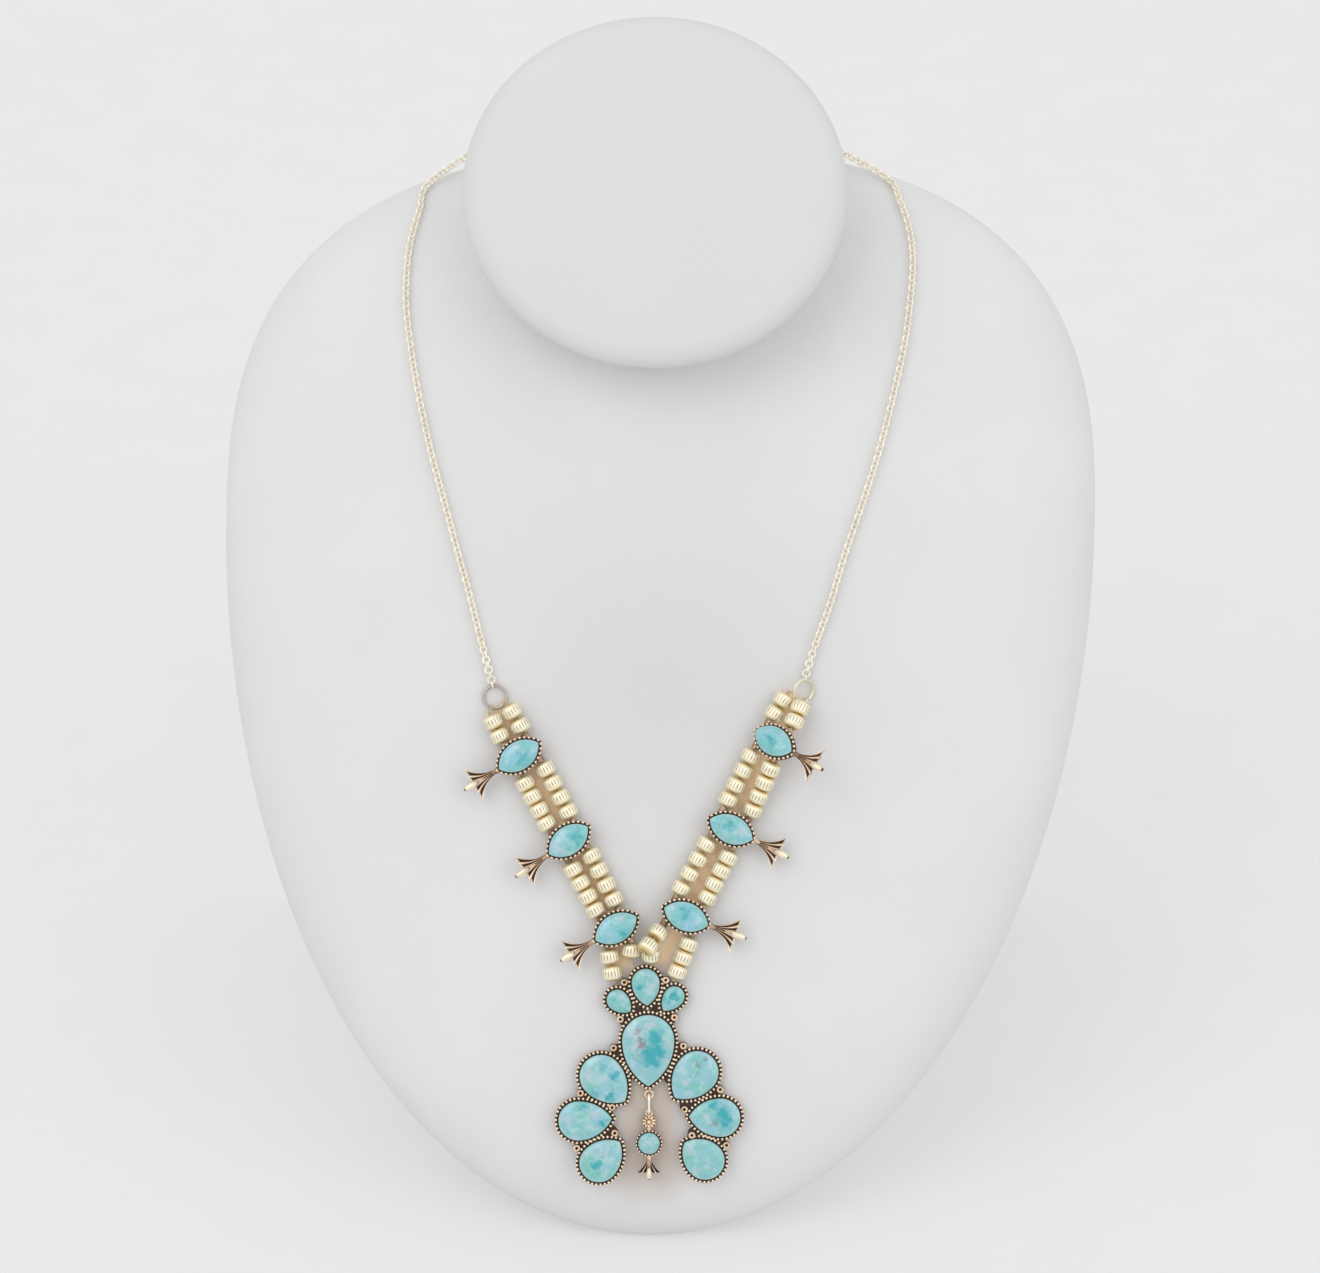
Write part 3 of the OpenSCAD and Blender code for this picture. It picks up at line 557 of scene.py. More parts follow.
def turquoise(name, aqua, sky):
    """Polished stone: aqua with sky blue and green clouds, pale veils, grey brown matrix. The tones
    say where its teal patches, brown spots and lilac veils are likely, and noise draws their edges.
    The fourth is a painted sheen, paler towards the edge."""
    s = Shader(name)
    teal, brown, veil, edge = s.tone()
    clouds = s.noise(140, 4, 0.55, 0.6)
    greens = s.noise(210, 4, 0.55, 0.8, (0.3, 0.1, 0))
    blots = s.noise(420, 4, 0.55, 0.6, (0.7, 0.2, 0.4))
    flecks = s.noise(750, 5, 0.6, 0.8, (0.1, 0.6, 0.2))
    grain = s.noise(1500, 4, 0.6, 0.4)
    colour = s.mix(clouds.step(0.38, 0.62), aqua, sky)
    colour = s.mix(greens.step(0.46, 0.66) * 0.7, colour, (0.17, 0.53, 0.43))
    colour = s.mix((greens * 0.5 + flecks * 0.5).step(0.5, 0.64) * 0.55, colour, (0.14, 0.4, 0.4))
    colour = s.mix(blots.step(0.48, 0.68) * 0.6, colour, (0.45, 0.64, 0.65))
    fleck, blot = flecks - 0.5, blots - 0.5
    pale = veil * 1.2 + fleck * 1.8 + (clouds - 0.5) * 1.2
    colour = s.mix(pale.step(0.35, 1.25) * 0.8, colour, (0.46, 0.54, 0.61))
    lively = teal * 1.3 + blot * 1.4 + fleck
    colour = s.mix(lively.step(0.3, 1.25) * 0.95, colour, (0, 0.34, 0.4))
    matrix = (brown * 1.35 + fleck * 1.8 + grain - 0.5).step(0.45, 1.2)
    colour = s.mix(matrix * 0.8, colour, (0.19, 0.155, 0.165))
    veins = blot.math("ABSOLUTE").step(0.012, 0) * flecks.step(0.5, 0.7) * 0.35
    colour = s.mix(veins, colour, (0.18, 0.32, 0.32))
    # Painted sheen, paler towards the stone's edge
    colour = s.mix(edge * 0.4, colour, (0.5, 0.69, 0.69))
    return s.finish(Base_Color=colour, Roughness=0.16 + 0.2 * matrix + 0.06 * grain,
                    Coat_Weight=0.7, Coat_Roughness=0.16,
                    Normal=s.bump(grain * 0.4 - matrix, 0.12, 0.0001))


def bead_cord():
    """Thread: fine strands drawn by noise."""
    s = Shader("bead_cord")
    strands = s.noise(1500)
    return s.finish(Base_Color=s.mix(strands, (0.4, 0.31, 0.2), (0.66, 0.54, 0.36)), Roughness=0.7,
                    Normal=s.bump(strands, 0.3, 0.0002))


# Chest surface
def middle_x(y):
    """The chest's middle line, which leans a little."""
    return CHEST_MIDDLE + CHEST_SKEW * (y - CHEST_LOWER_H)


def reach(x, y):
    """Distance from the chest's middle as a share of its outline: an ellipse below its widest line,
    a superellipse above."""
    lower = y < CHEST_LOWER_H
    n = np.where(lower, 2, UPPER_POW)
    a = np.abs(x - middle_x(y)) / CHEST_HALF_W
    b = np.abs(y - CHEST_LOWER_H) / np.where(lower, CHEST_LOWER_H, CHEST_UPPER_H)
    return (a ** n + b ** n) ** (1 / n)


def dome(r):
    """Height of the chest's front at a share of its outline."""
    return CHEST_RISE * np.sqrt(np.clip(1 - r ** DOME_POW, 0, 1))


def chest_z(x, y):
    """Height of the chest's front at a place."""
    return dome(reach(x, y))


def seat(xy, lift):
    """Points over the chest, lifted along its normal."""
    x, y = np.asarray(xy, float).T
    half = 0.5
    normal = unit(np.stack([chest_z(x - half, y) - chest_z(x + half, y),
                            chest_z(x, y - half) - chest_z(x, y + half),
                            np.ones_like(x)], -1))
    return np.stack([x, y, chest_z(x, y)], -1) + lift * normal


def outline(turn, r):
    """Point of the chest's outline at a turn, scaled by r about its middle."""
    lower = np.sin(turn) < 0
    p = np.where(lower, 1, 2 / UPPER_POW)
    height = np.where(lower, CHEST_LOWER_H, CHEST_UPPER_H)
    y = CHEST_LOWER_H + height * r * np.sign(np.sin(turn)) * np.abs(np.sin(turn)) ** p
    x = CHEST_HALF_W * r * np.sign(np.cos(turn)) * np.abs(np.cos(turn)) ** p + middle_x(y)
    return x, y


def floor_z(y):
    """Where the floor cuts a line through the chest frame at y."""
    return -y * np.cos(CHEST_LEAN) / np.sin(CHEST_LEAN)


def back_z(y, inset):
    """Where the flat back, or a plane inset before it, cuts that line."""
    return (y * np.sin(CHEST_LEAN) - BASE_DEPTH + inset) / np.cos(CHEST_LEAN)


def chest():
    """Dome in rows of equal share, closer towards the rim, then walls straight back to the floor or
    the flat back, which are one flat face each."""
    corner_y = BASE_DEPTH * np.sin(CHEST_LEAN)
    corner = np.arcsin(corner_y / CHEST_LOWER_H - 1)
    turns = np.sort(np.append(around(CHEST_COLUMNS) - np.pi / 2, [corner, np.pi - corner]))
    shares = 1 - (1 - np.linspace(0, 1, CHEST_ROWS)[1:]) ** CROWDING
    x, y = outline(turns[None], shares[:, None])
    front = np.stack([x, y, dome(shares)[:, None] + 0 * x], -1)
    x, y = outline(turns, 1)
    end = np.maximum(floor_z(y), back_z(y, 0))
    drop = np.linspace(0, 1, WALL_ROWS + 1)[1:, None]
    wall = np.stack([x + 0 * drop, y + 0 * drop, end * drop], -1)
    rows = np.concatenate([front, wall])
    solid = shell(rows)
    columns = len(turns)
    solid.triangles = solid.triangles[:columns]
    solid.points[-2] = [CHEST_MIDDLE, CHEST_LOWER_H, CHEST_RISE]
    solid.points = solid.points[:-1]
    solid.tone = solid.tone[:-1]
    edge = (len(rows) - 1) * columns + np.arange(columns)
    low, high = y <= corner_y + 0.01, y >= corner_y - 0.01
    by_side = np.argsort(np.where(turns > np.pi / 2, turns - 2 * np.pi, turns))
    base = edge[by_side][low[by_side]]
    solid.caps = [edge[high][::-1], base[::-1]]
    # Painted warm reflection of the gold between the strands
    solid.tone[:, 0] = between_strands(solid.points)
    # Painted shade: the chest's darker middle and the pendant's shadow round it
    for x, y, radius in PAINTED_SHADE_SPOTS:
        away = np.linalg.norm(solid.points[:, :2] - [x, y], axis=1)
        solid.tone[:, 1] += np.exp(-(away / radius) ** 2)
    # Painted shadow with a warm reflection in the pendant's opening
    inside = (solid.points[:, :2] - OPENING) / OPENING_HALF
    solid.tone[:, 2] = np.exp(-np.sum(inside ** 4, axis=1))
    return solid


def between_strands(points):
    """Painted warm reflection of the gold beads on the cover: a bell curve of the distance on the
    chest from the middle lines between the two strands of each side."""
    starts, ends = [], []
    for side in ("left", "right"):
        stops = []
        for outer, inner in zip(RUNS[side + "_outer"], RUNS[side + "_inner"]):
            stops += [np.add(outer[:2], inner[:2]) / 2, np.add(outer[2:4], inner[2:4]) / 2]
        starts += stops[:-1]
        ends += stops[1:]
    starts, along = np.array(starts), np.subtract(ends, starts)
    away = points[:, None, :2] - starts
    share = np.clip(np.sum(away * along, -1) / np.sum(along ** 2, -1), 0, 1)
    distance = np.linalg.norm(away - share[..., None] * along, axis=-1).min(axis=1)
    return np.exp(-(distance / GOLD_BOUNCE_R) ** 2)


def neck():
    """Ellipses along the neck: it flares smoothly to its end, whose edge is a quarter round and
    whose face is slightly domed."""
    share = np.linspace(0, ROUNDING_START, 26)
    s = np.clip((share - FLARE_START) / FLARE, 0, 1)
    edge = np.linspace(0, np.pi / 2, 12)[1:]
    face = np.linspace(1, 0, 14)[1:-1]
    inset = np.concatenate([0 * share, NECK_EDGE_R * (1 - np.cos(edge)),
                            NECK_EDGE_R + (1 - face) * (FACE_HALF[1] - NECK_EDGE_R)])
    height = NECK_REACH * np.concatenate([
        share, ROUNDING_START + (1 - ROUNDING_START) * np.sin(edge),
        1 + FACE_RISE / NECK_REACH * (1 - face ** 2)])
    grow = np.ones(len(inset))
    grow[:len(s)] = s * s * (3 - 2 * s)
    half = NECK_HALF + grow[:, None] * (FACE_HALF - NECK_HALF) - inset[:, None]
    rows = circling(around(NECK_COLUMNS), 1, height[:, None])
    rows[..., :2] *= half[:, None]
    rows[..., 1] += NECK_Y
    foot = rows[0].copy()
    foot[:, 2] = back_z(foot[:, 1], 1)
    between = foot + (rows[0] - foot) * np.linspace(0, 1, 7)[:-1, None, None]
    # The neck carries painted shade in the cover's second tone
    return shell(np.concatenate([between, rows]), np.array([0, NECK_PAINTED_SHADE, 0, 0]))


# Chain, clasp and jump rings
def nape(turn):
    """Point of the chain's way round the neck."""
    half = NECK_HALF + CHAIN_LIFT + CHAIN_CLEAR
    return circling(turn) * [*half, 0] + [0, NECK_Y, NAPE_LIFT]


def jump_centre(side):
    """The ring's middle, lifted by its wire and its tilt."""
    x, y, tilt, _ = JUMP[side]
    lift = JUMP_WIRE / 2 + GAP + JUMP_D / 2 * np.sin(np.radians(abs(tilt)))
    return seat([[x, y]], lift)[0]


def jump_ring(side):
    """Wire ring, not quite closed, tilted about y and then turned about z."""
    _, _, tilt, turn = JUMP[side]
    wire = JUMP_OPENING + np.linspace(JUMP_SLIT, 2 * np.pi - JUMP_SLIT, 56)
    ring = tube(circling(wire, (JUMP_D - JUMP_WIRE) / 2), JUMP_WIRE / 2, 12)
    return ring.moved(turned(2, turn) @ turned(1, tilt), jump_centre(side) + [0, 0, JUMP_RAISE])


def links(path, first_turn):
    """Round links along a path, one a step, each in the path's plane turned a quarter from its
    neighbour. The turn settles from first_turn to an eighth."""
    link = torus((CHAIN_W - LINK_WIRE) / 2, LINK_WIRE / 2, 12, 6)
    ahead = unit(np.gradient(path, axis=0))
    axes = frames_along(ahead)
    k = np.arange(len(path))
    settled = np.clip(k / LINKS_TO_SETTLE, 0, 1)
    turn = first_turn + (np.pi / 4 - first_turn) * settled + (k % 2) * np.pi / 2
    side, over = axes[:, :, 0], axes[:, :, 1]
    normal = np.cos(turn)[:, None] * over + np.sin(turn)[:, None] * side
    return repeated(link, np.stack([ahead, np.cross(normal, ahead), normal], -1), path)


def chain(side):
    """Links from the jump ring, up the chest, over the shoulder and round the neck to the clasp."""
    clasp_turn = np.degrees(CLASP_LEN / 2 / (NECK_HALF[1] + CHAIN_W / 2))
    turn = np.radians(np.linspace(NAPE_START, 90 - clasp_turn, NAPE_STEPS + 1))
    round_neck = nape(np.pi - turn if side == "left" else turn)
    on_chest = seat(CHAINS[side], CHAIN_LIFT)
    centre = jump_centre(side)
    hook = centre + JUMP_D / 2 * unit(on_chest[0] - centre)
    hook[2] = (hook[2] + on_chest[0][2]) / 2
    pitch = CHAIN_W - 2 * LINK_WIRE + LINK_PLAY
    path = smooth_path(np.concatenate([[hook], on_chest, round_neck]), pitch)
    return links(path, np.pi / 2)


def clasp():
    """Barrel along x behind the neck: a turned body with two collars and rounded ends."""
    half = CLASP_LEN / 2 - GAP
    x = np.array([half, half, half - 0.3, 2.4, 2.2, 1.6, 1.4])
    r = CLASP_W / 2 * np.array([0.3, 0.8, 0.92, 0.92, 1, 1, 0.88])
    x, r = (np.concatenate(sides)[:, None] for sides in ([-x, x[::-1]], [r, r[::-1]]))
    rows = np.roll(circling(around(24), r, x), 1, axis=-1)
    back = nape(np.pi / 2) + [0, (CLASP_W - CHAIN_W) / 2 + GAP, 0]
    return shell(rows).at(*back)


# Beads and threads
def run_beads(run):
    """Centres of a run's beads and its direction: a straight row between its ends, which rest on
    the chest plus their own lifts."""
    xy = np.array([run[:2], run[2:4]], float)
    first, last = np.column_stack([xy, chest_z(*xy.T) + BEAD_D / 2 + GAP + run[5:7]])
    shares = np.linspace(0, 1, run[4]) if run[4] > 1 else np.array([0.5])
    return first + (last - first) * shares[:, None], unit(last - first)


def run_ends(run):
    """Where the thread enters and leaves a run."""
    centres, ahead = run_beads(run)
    out = (BEAD_LEN / 2 + THREAD_OUT) * ahead
    return centres[0] - out, centres[-1] + out


def fluted_bead():
    """Barrel of revolution with grooves along it: the radius dips in a narrow bell curve at each
    flute, less towards the ends. Tones: a painted dark reflection in the grooves, strongest at the
    middle, and painted shade towards the ends and in the bore."""
    turn = around(FLUTES * 7)
    count = 17
    across = np.linspace(-1, 1, count)
    swell = (1 - np.abs(across) ** 2.7) ** 0.56
    radius = BEAD_END_D / 2 + (BEAD_D - BEAD_END_D) / 2 * swell
    phase = (turn * FLUTES / (2 * np.pi)) % 1
    groove = np.exp(-((phase - 0.5) / FLUTE_W) ** 2)[None] * swell[:, None]
    half = BEAD_LEN / 2
    outside = circling(turn, radius[:, None] - FLUTE_DEEP * groove, half * across[:, None])
    inside = circling(turn, BEAD_BORE / 2, np.array([[half], [-half]]))
    rows = np.concatenate([outside, inside])
    tone = np.zeros(rows.shape[:2] + (4,))
    # Painted dark reflection in the grooves, strongest mid bead; painted shade at the ends and in
    # the bore
    tone[:count, :, 0] = groove * np.clip(1.5 - 2.2 * np.abs(across), 0, 1)[:, None]
    tone[:count, :, 1] = (np.clip((np.abs(across) - 0.5) / 0.5, 0, 1) ** 1.3)[:, None]
    tone[count:, :, 1] = 1
    return shell(rows, tone, ring=True)


def bead_string(runs):
    """The runs' beads, each at its own chance turn on the thread."""
    bead = fluted_bead()
    solids = []
    for run in runs:
        centres, ahead = run_beads(run)
        axes = frames_along(np.broadcast_to(ahead, centres.shape))
        spin = np.degrees(rng.uniform(0, 2 * np.pi, len(centres)))
        solids.append(repeated(bead, axes @ [turned(2, angle) for angle in spin], centres))
    return solids


def thread(name):
    """Cord from a small wire loop on the jump ring through every run to the pendant's edge."""
    side = name.split("_")[0]
    centre = jump_centre(side)
    runs = RUNS[name]
    stops = [p for run in runs for p in run_ends(run)]
    ahead = unit(stops[0] - centre)
    start = centre + (JUMP_D / 2 + GAP) * ahead
    end = seat([STRING_ENDS[name]], BEAD_D / 2 + GAP)[0]
    path = smooth_path([start, *stops, end], THREAD_STEP)
    loop = torus(EYE_R, EYE_WIRE, 16, 6)
    over = unit(np.cross(ahead, [0, 0, 1]))
    hook = centre + (JUMP_D / 2 - JUMP_WIRE / 2 + 0.35) * ahead + [0, 0, JUMP_RAISE]
    return [tube(path, THREAD_D / 2, 10),
            loop.moved(np.stack([ahead, np.cross(over, ahead), over], -1), hook)]


# Outlines of the stones: the same arcs moved outwards by grow
def arc(centre, r, start, end, count):
    """Part of a circle, without its last point."""
    turn = np.linspace(start, end, count, endpoint=False)
    return np.asarray(centre) + r * np.stack([np.cos(turn), np.sin(turn)], -1)


def marquise(grow, count=40):
    """Two arcs that meet in points on x."""
    r = ((MARQUISE_LEN / 2) ** 2 + (MARQUISE_W / 2) ** 2) / MARQUISE_W
    c = r - MARQUISE_W / 2
    half = np.arccos(c / (r + grow))
    up = np.pi / 2
    return np.concatenate([arc([0, -c], r + grow, up - half, up + half, count),
                           arc([0, c], r + grow, 3 * up - half, 3 * up + half, count)])


def pear(length, width, grow, count=32):
    """Half circle round the origin and two arcs that meet in a point on x."""
    r = width / 2
    point = length - r
    big = (r * r + point * point) / (2 * r)
    c = big - r
    half = np.arccos(c / (big + grow))
    up = np.pi / 2
    return np.concatenate([arc([0, 0], r + grow, up, 3 * up, 2 * count),
                           arc([0, c], big + grow, 3 * up, 3 * up + half, count),
                           arc([0, -c], big + grow, up - half, up, count)])


def cup(shape, rim_w):
    """Setting: the outline at levels of growth, height and dark tone. They are the back plate, a
    wall that rounds over to the granules' bed, a thin bezel and the pocket's floor."""
    wall = rim_w - GAP
    levels = [(-1.5, 0, 0.2), (wall - 0.15, 0, 0.1), (wall, 0.15, 0.1), (wall, 0.8, 0.8),
              (wall, 1.2, 1), (wall - 0.2, 1.35, 1), (0.34, 1.4, 1), (0.26, 1.9, 0.8),
              (0.18, RIM_H, 0.75), (0.1, 1.95, 1), (0.1, PLATE_T, 1), (-1.5, PLATE_T, 1)]
    rows = np.stack([np.insert(shape(grow), 2, z, axis=1) for grow, z, _ in levels])
    dark = np.array(levels)[:, 2]
    return shell(rows, dark[:, None, None] * [1, 0, 0, 0])


def granules(shape, grow, pitch, radii, z):
    """Ellipsoids at equal steps along an outline, x across it and y along it."""
    loop = shape(grow)
    closed = np.concatenate([loop, loop[:1]])
    length = lengths(closed)
    count = int(round(length[-1] / pitch))
    cuts = (np.arange(count) + 0.5) * length[-1] / count
    step = 0.2
    before, places, after = (points_at(closed, length, (cuts + shift) % length[-1])
                             for shift in (-step, 0, step))
    ahead = np.column_stack([unit(after - before), np.zeros(count)])
    up = np.broadcast_to([0.0, 0, 1], ahead.shape)
    grain = ball(radii, 10, 6)
    height = grain.points[:, 2] / radii[2]
    # Dark low down between the granules; cream on their tops, rubbed bright and partly a painted
    # highlight
    grain.shaded(np.clip(0.6 - 1.1 * height, 0, 1), np.clip(1.5 * height - 0.7, 0, 1))
    axes = np.stack([np.cross(ahead, up), ahead, up], -1)
    return repeated(grain, axes, np.column_stack([places, np.full(count, z)]))


def cabochon(shape, middle, base, top):
    """Stone over an outline: a short wall, then rows drawn in to its middle while it rises by a
    superellipse. Tone 4, a painted sheen: 1 at the edge, fading inwards."""
    loop = shape(0)
    share = np.concatenate([[1, 1], np.cos(np.linspace(0, np.pi / 2, 26)[1:-1])])
    girdle = base + 0.45 * (top - base)
    rise = girdle + (top - girdle) * np.sqrt(np.clip(1 - share ** 2.4, 0, 1))
    rise[0] = base
    rows = np.empty((len(share), len(loop), 3))
    rows[..., :2] = middle + share[:, None, None] * (loop - middle)
    rows[..., 2] = rise[:, None]
    tone = np.zeros(rows.shape[:2] + (4,))
    # Painted sheen at the stone's edge
    tone[..., 3] = (np.clip((share - 0.82) / 0.18, 0, 1) ** 1.5)[:, None]
    return shell(rows, tone)


# Blossom
def fan_at(s, t, length, width, spread):
    """Point of the fan: s from stem to tips, t from side to side. It widens as a power of s."""
    half = STEM_HALF + (width / 2 - STEM_HALF) * s ** spread
    return length * s * (1 - 0.12 * s * t * t), t * half * (1 - 0.04 * s * s)


def blossom(length, width, bud_size, spread):
    """Flared fan of ridged petals over a flat back: ridges at equal steps of t with grooves sunk
    between them, which also notch the edge, longest at its two outer tips. A smooth bud lies on
    its middle and reaches past it. Tones: dark in the grooves; cream on the crests and the bud,
    rubbed bright and partly a painted highlight."""
    across = 91
    s = np.linspace(0, 1, 26)[:, None]
    t = np.linspace(-1, 1, across)[None]
    groove = np.sin(np.pi * GROOVES * (t + 1) / 2) ** 2
    reach_out = 0.9 + 0.1 * np.abs(t) ** 2.2 - 0.1 * groove
    x, y = fan_at(s * reach_out, t, length, width, spread)
    deep = groove * (0.5 + 0.5 * s)
    crest = 0.95 + 0.6 * s ** 2 - 0.2 * s ** 8
    top = np.stack([x, y, crest - 0.6 * deep], -1)
    under = np.stack([x, y, 0.2 + 0.55 * s ** 2 + 0 * t], -1)
    rows = np.concatenate([top, under[:, ::-1]], axis=1)
    tone = np.zeros(rows.shape[:2] + (4,))
    tone[:, :across, 0] = np.clip((deep - 0.03) / bud_size + 1 - bud_size, 0, 0.62 / bud_size)
    # Cream on the crests towards the tips: rubbed bright and partly a painted highlight
    tone[:, :across, 1] = np.clip(0.6 * s - groove, 0, 1)
    tone[:, across:, 0] = 0.5
    bud = ball(bud_size * BUD, 20, 14)
    along = bud.points[:, 0] / (bud_size * BUD[0])
    tip = np.exp(-((along - 0.97) / 0.12) ** 2)
    # Bud: dark at its tip and back end; cream all over, rubbed bright and partly a painted
    # highlight
    bud.shaded(0.2 + 0.8 * tip + 0.3 * np.clip(-along - 0.1, 0, 1), 0.75)
    stem = tube([[-0.6, 0, 0.75], [0.1, 0, 0.8], [0.9, 0, 0.85], [1.8, 0, 0.9]],
                [0.6, 0.8, 0.7, 0.4], 14, 0.85).shaded(0.4)
    rib = tube([[length * 0.5, 0, 0.9], [length * 0.7, 0, 1.1], [length * 0.95, 0, 1.25]],
               [0.1, 0.25, 0.5], 12)
    return [shell(rows, tone), bud.at(length - 0.4 * bud_size, 0, 1.3), stem, rib]


# Stations
def pass_ends(name):
    """Both strands' straight passes under a station: (start, end) of each."""
    side, number = name.split("_")
    k = int(number) - 1
    strands = ("outer", "inner") if side == "left" else ("inner", "outer")
    runs = [RUNS[side + "_" + strand] for strand in strands]
    return [(run_ends(one[k])[1], run_ends(one[k + 1])[0]) for one in runs]


def station_frame(name):
    """Axes and origin: the plate lies across the middles of both passes."""
    x, y, turn, _, _ = STATIONS[name]
    low, high = [np.mean(ends, axis=0) for ends in pass_ends(name)]
    swing = np.arcsin((high[2] - low[2]) / np.linalg.norm(high - low))
    axes = turned(2, turn) @ turned(1, -np.degrees(swing))
    return axes, np.array([x, y, (low[2] + high[2]) / 2 + TUBE_D / 2 - TUBE_SUNK])


def station(name):
    """Setting with its granules and blossom, and a tube round each strand's pass."""
    _, _, turn, side, blossom_turn = STATIONS[name]
    root = [side * (MARQUISE_LEN + MARQUISE_RIM) / 2, 0, 0.2]
    solids = [cup(marquise, MARQUISE_RIM), granules(marquise, *STATION_GRAINS)]
    for one in blossom(BLOSSOM_LEN, BLOSSOM_W, 1, FAN_SPREAD):
        solids.append(one.moved(turned(2, blossom_turn - turn), root))
    place = station_frame(name)
    # The strand tubes get a dark tone of 0.42: painted shade
    return [one.moved(*place) for one in solids] + [
        tube(np.linspace(start, end, 5), TUBE_D / 2, 20).shaded(0.42)
        for start, end in pass_ends(name)]


def marquise_stone(name):
    """The station's cabochon on its plate."""
    stone = cabochon(marquise, np.zeros(2), PLATE_T + GAP, STONE_H)
    return stone.moved(*station_frame(name))


# Pendant
def on_pendant(solid):
    """From the pendant's own frame, tilted a little on the chest, to the chest's."""
    back = chest_z(*np.array(PENDANT)) + PENDANT_CLEAR
    return solid.moved(turned(0, PENDANT_TILT), [*PENDANT, back])


def pear_shape(name):
    """A pendant stone's pear, as a function of grow."""
    _, _, length, width, _ = NAJA[name]
    return lambda grow: pear(length, width, grow)


def naja_frame():
    """Settings with their granules, dark fills between them, a ring on a stalk for each rosette,
    and the loop under the point."""
    solids = []
    for name, (x, y, _, _, turn) in NAJA.items():
        shape = pear_shape(name)
        for one in (cup(shape, RIM_W), granules(shape, *NAJA_GRAINS)):
            solids.append(one.moved(turned(2, turn), [x, y, 0]))
    share, z, dark = np.array([[0.9, 0, 0.3], [1, 0.1, 0.3], [1, FILL_H - 0.2, 1],
                               [0.9, FILL_H, 1]]).T[..., None]
    tone = dark[..., None] * [1, 0, 0, 0]
    for x, y, d in FILLS:
        solids.append(shell(circling(around(20), d / 2 * share, z), tone).at(x, y, 0))
    for x, y in ROSETTES:
        ring = torus(*ROSETTE_RING, 20, 10)
        ring.shaded(np.clip(0.48 - ring.points[:, 2], 0, 1))
        solids += [ring.at(x, y, RIM_H - 0.1), ball([1, 1, 1.1], 16, 7).shaded(1).at(x, y, 0.7)]
    solids.append(torus(LOOP_R, LOOP_WIRE, 24, 10).at(0, LOOP_Y, RIM_H / 2))
    return [on_pendant(one) for one in solids]


def pear_stone(name):
    """Cabochon whose height follows its width."""
    x, y, length, width, turn = NAJA[name]
    top = STONE_H * (0.7 + 0.3 * width / NAJA["main"][3])
    stone = cabochon(pear_shape(name), np.array([(length - width) / 2.6, 0]), PLATE_T + GAP, top)
    return on_pendant(stone.moved(turned(2, turn), [x, y, 0]))


def drop_link():
    """Long wire link on edge: two half circles joined by straights."""
    turn = around(40)
    path = np.stack([0 * turn, LINK_Y + LOOP_R * np.sin(turn) + LINK_HALF * np.sign(np.sin(turn)),
                     RIM_H / 2 + LOOP_R * np.cos(turn)], -1)
    return [on_pendant(tube(path, LINK_ROUND, 12, up=(1, 0, 0), ring=True))]


def drop_shape(grow):
    """The drop's circle."""
    return arc([0, 0], DROP_D / 2 + grow, 0, 2 * np.pi, 72)


def drop_setting():
    """Ring for the link, flower of petals on a dark bed, round setting and bell, with two short
    rods between them."""
    solids = [torus(*DROP_RING, 20, 8).at(0, LINK_Y - LINK_HALF - LOOP_R, RIM_H / 2)]
    petal = ball([0.72, 0.42, 0.42], 10, 6)
    petal.shaded(np.clip(0.75 - petal.points[:, 2] * 2, 0, 1))
    turn = around(PETALS) + np.pi / PETALS
    solids.append(repeated(petal, [turned(2, angle) for angle in np.degrees(turn)],
                           circling(turn, PETAL_OUT, 1.1) + [0, FLOWER_Y, 0]))
    solids.append(ball([1.7, 1.7, 0.45], 24, 6).shaded(1).at(0, FLOWER_Y, 0.75))
    solids.append(ball([0.68, 0.68, 0.6], 16, 8).at(0, FLOWER_Y, 1.4))
    for y in ((FLOWER_Y + DROP_Y) / 2 + DROP_RIM_W, (BELL_ROD_Y + BELL_Y) / 2):
        path = [[0, y - ROD_HALF, 0.8], [0, y, 0.8], [0, y + ROD_HALF, 0.8]]
        solids.append(tube(path, [0.6, 0.7, 0.6], 14))
    solids += [one.at(0, DROP_Y, 0) for one in (
        cup(drop_shape, DROP_RIM_W + 0.1), granules(drop_shape, *DROP_GRAINS))]
    for one in blossom(BELL_LEN, BELL_W, BELL_BUD, BELL_SPREAD):
        solids.append(one.moved(turned(2, -90), [0, BELL_Y, 0.1]))
    return [on_pendant(one) for one in solids]


def drop_stone():
    """Low round cabochon."""
    stone = cabochon(drop_shape, np.zeros(2), PLATE_T + GAP, STONE_H * 0.85)
    return on_pendant(stone.at(0, DROP_Y, 0))


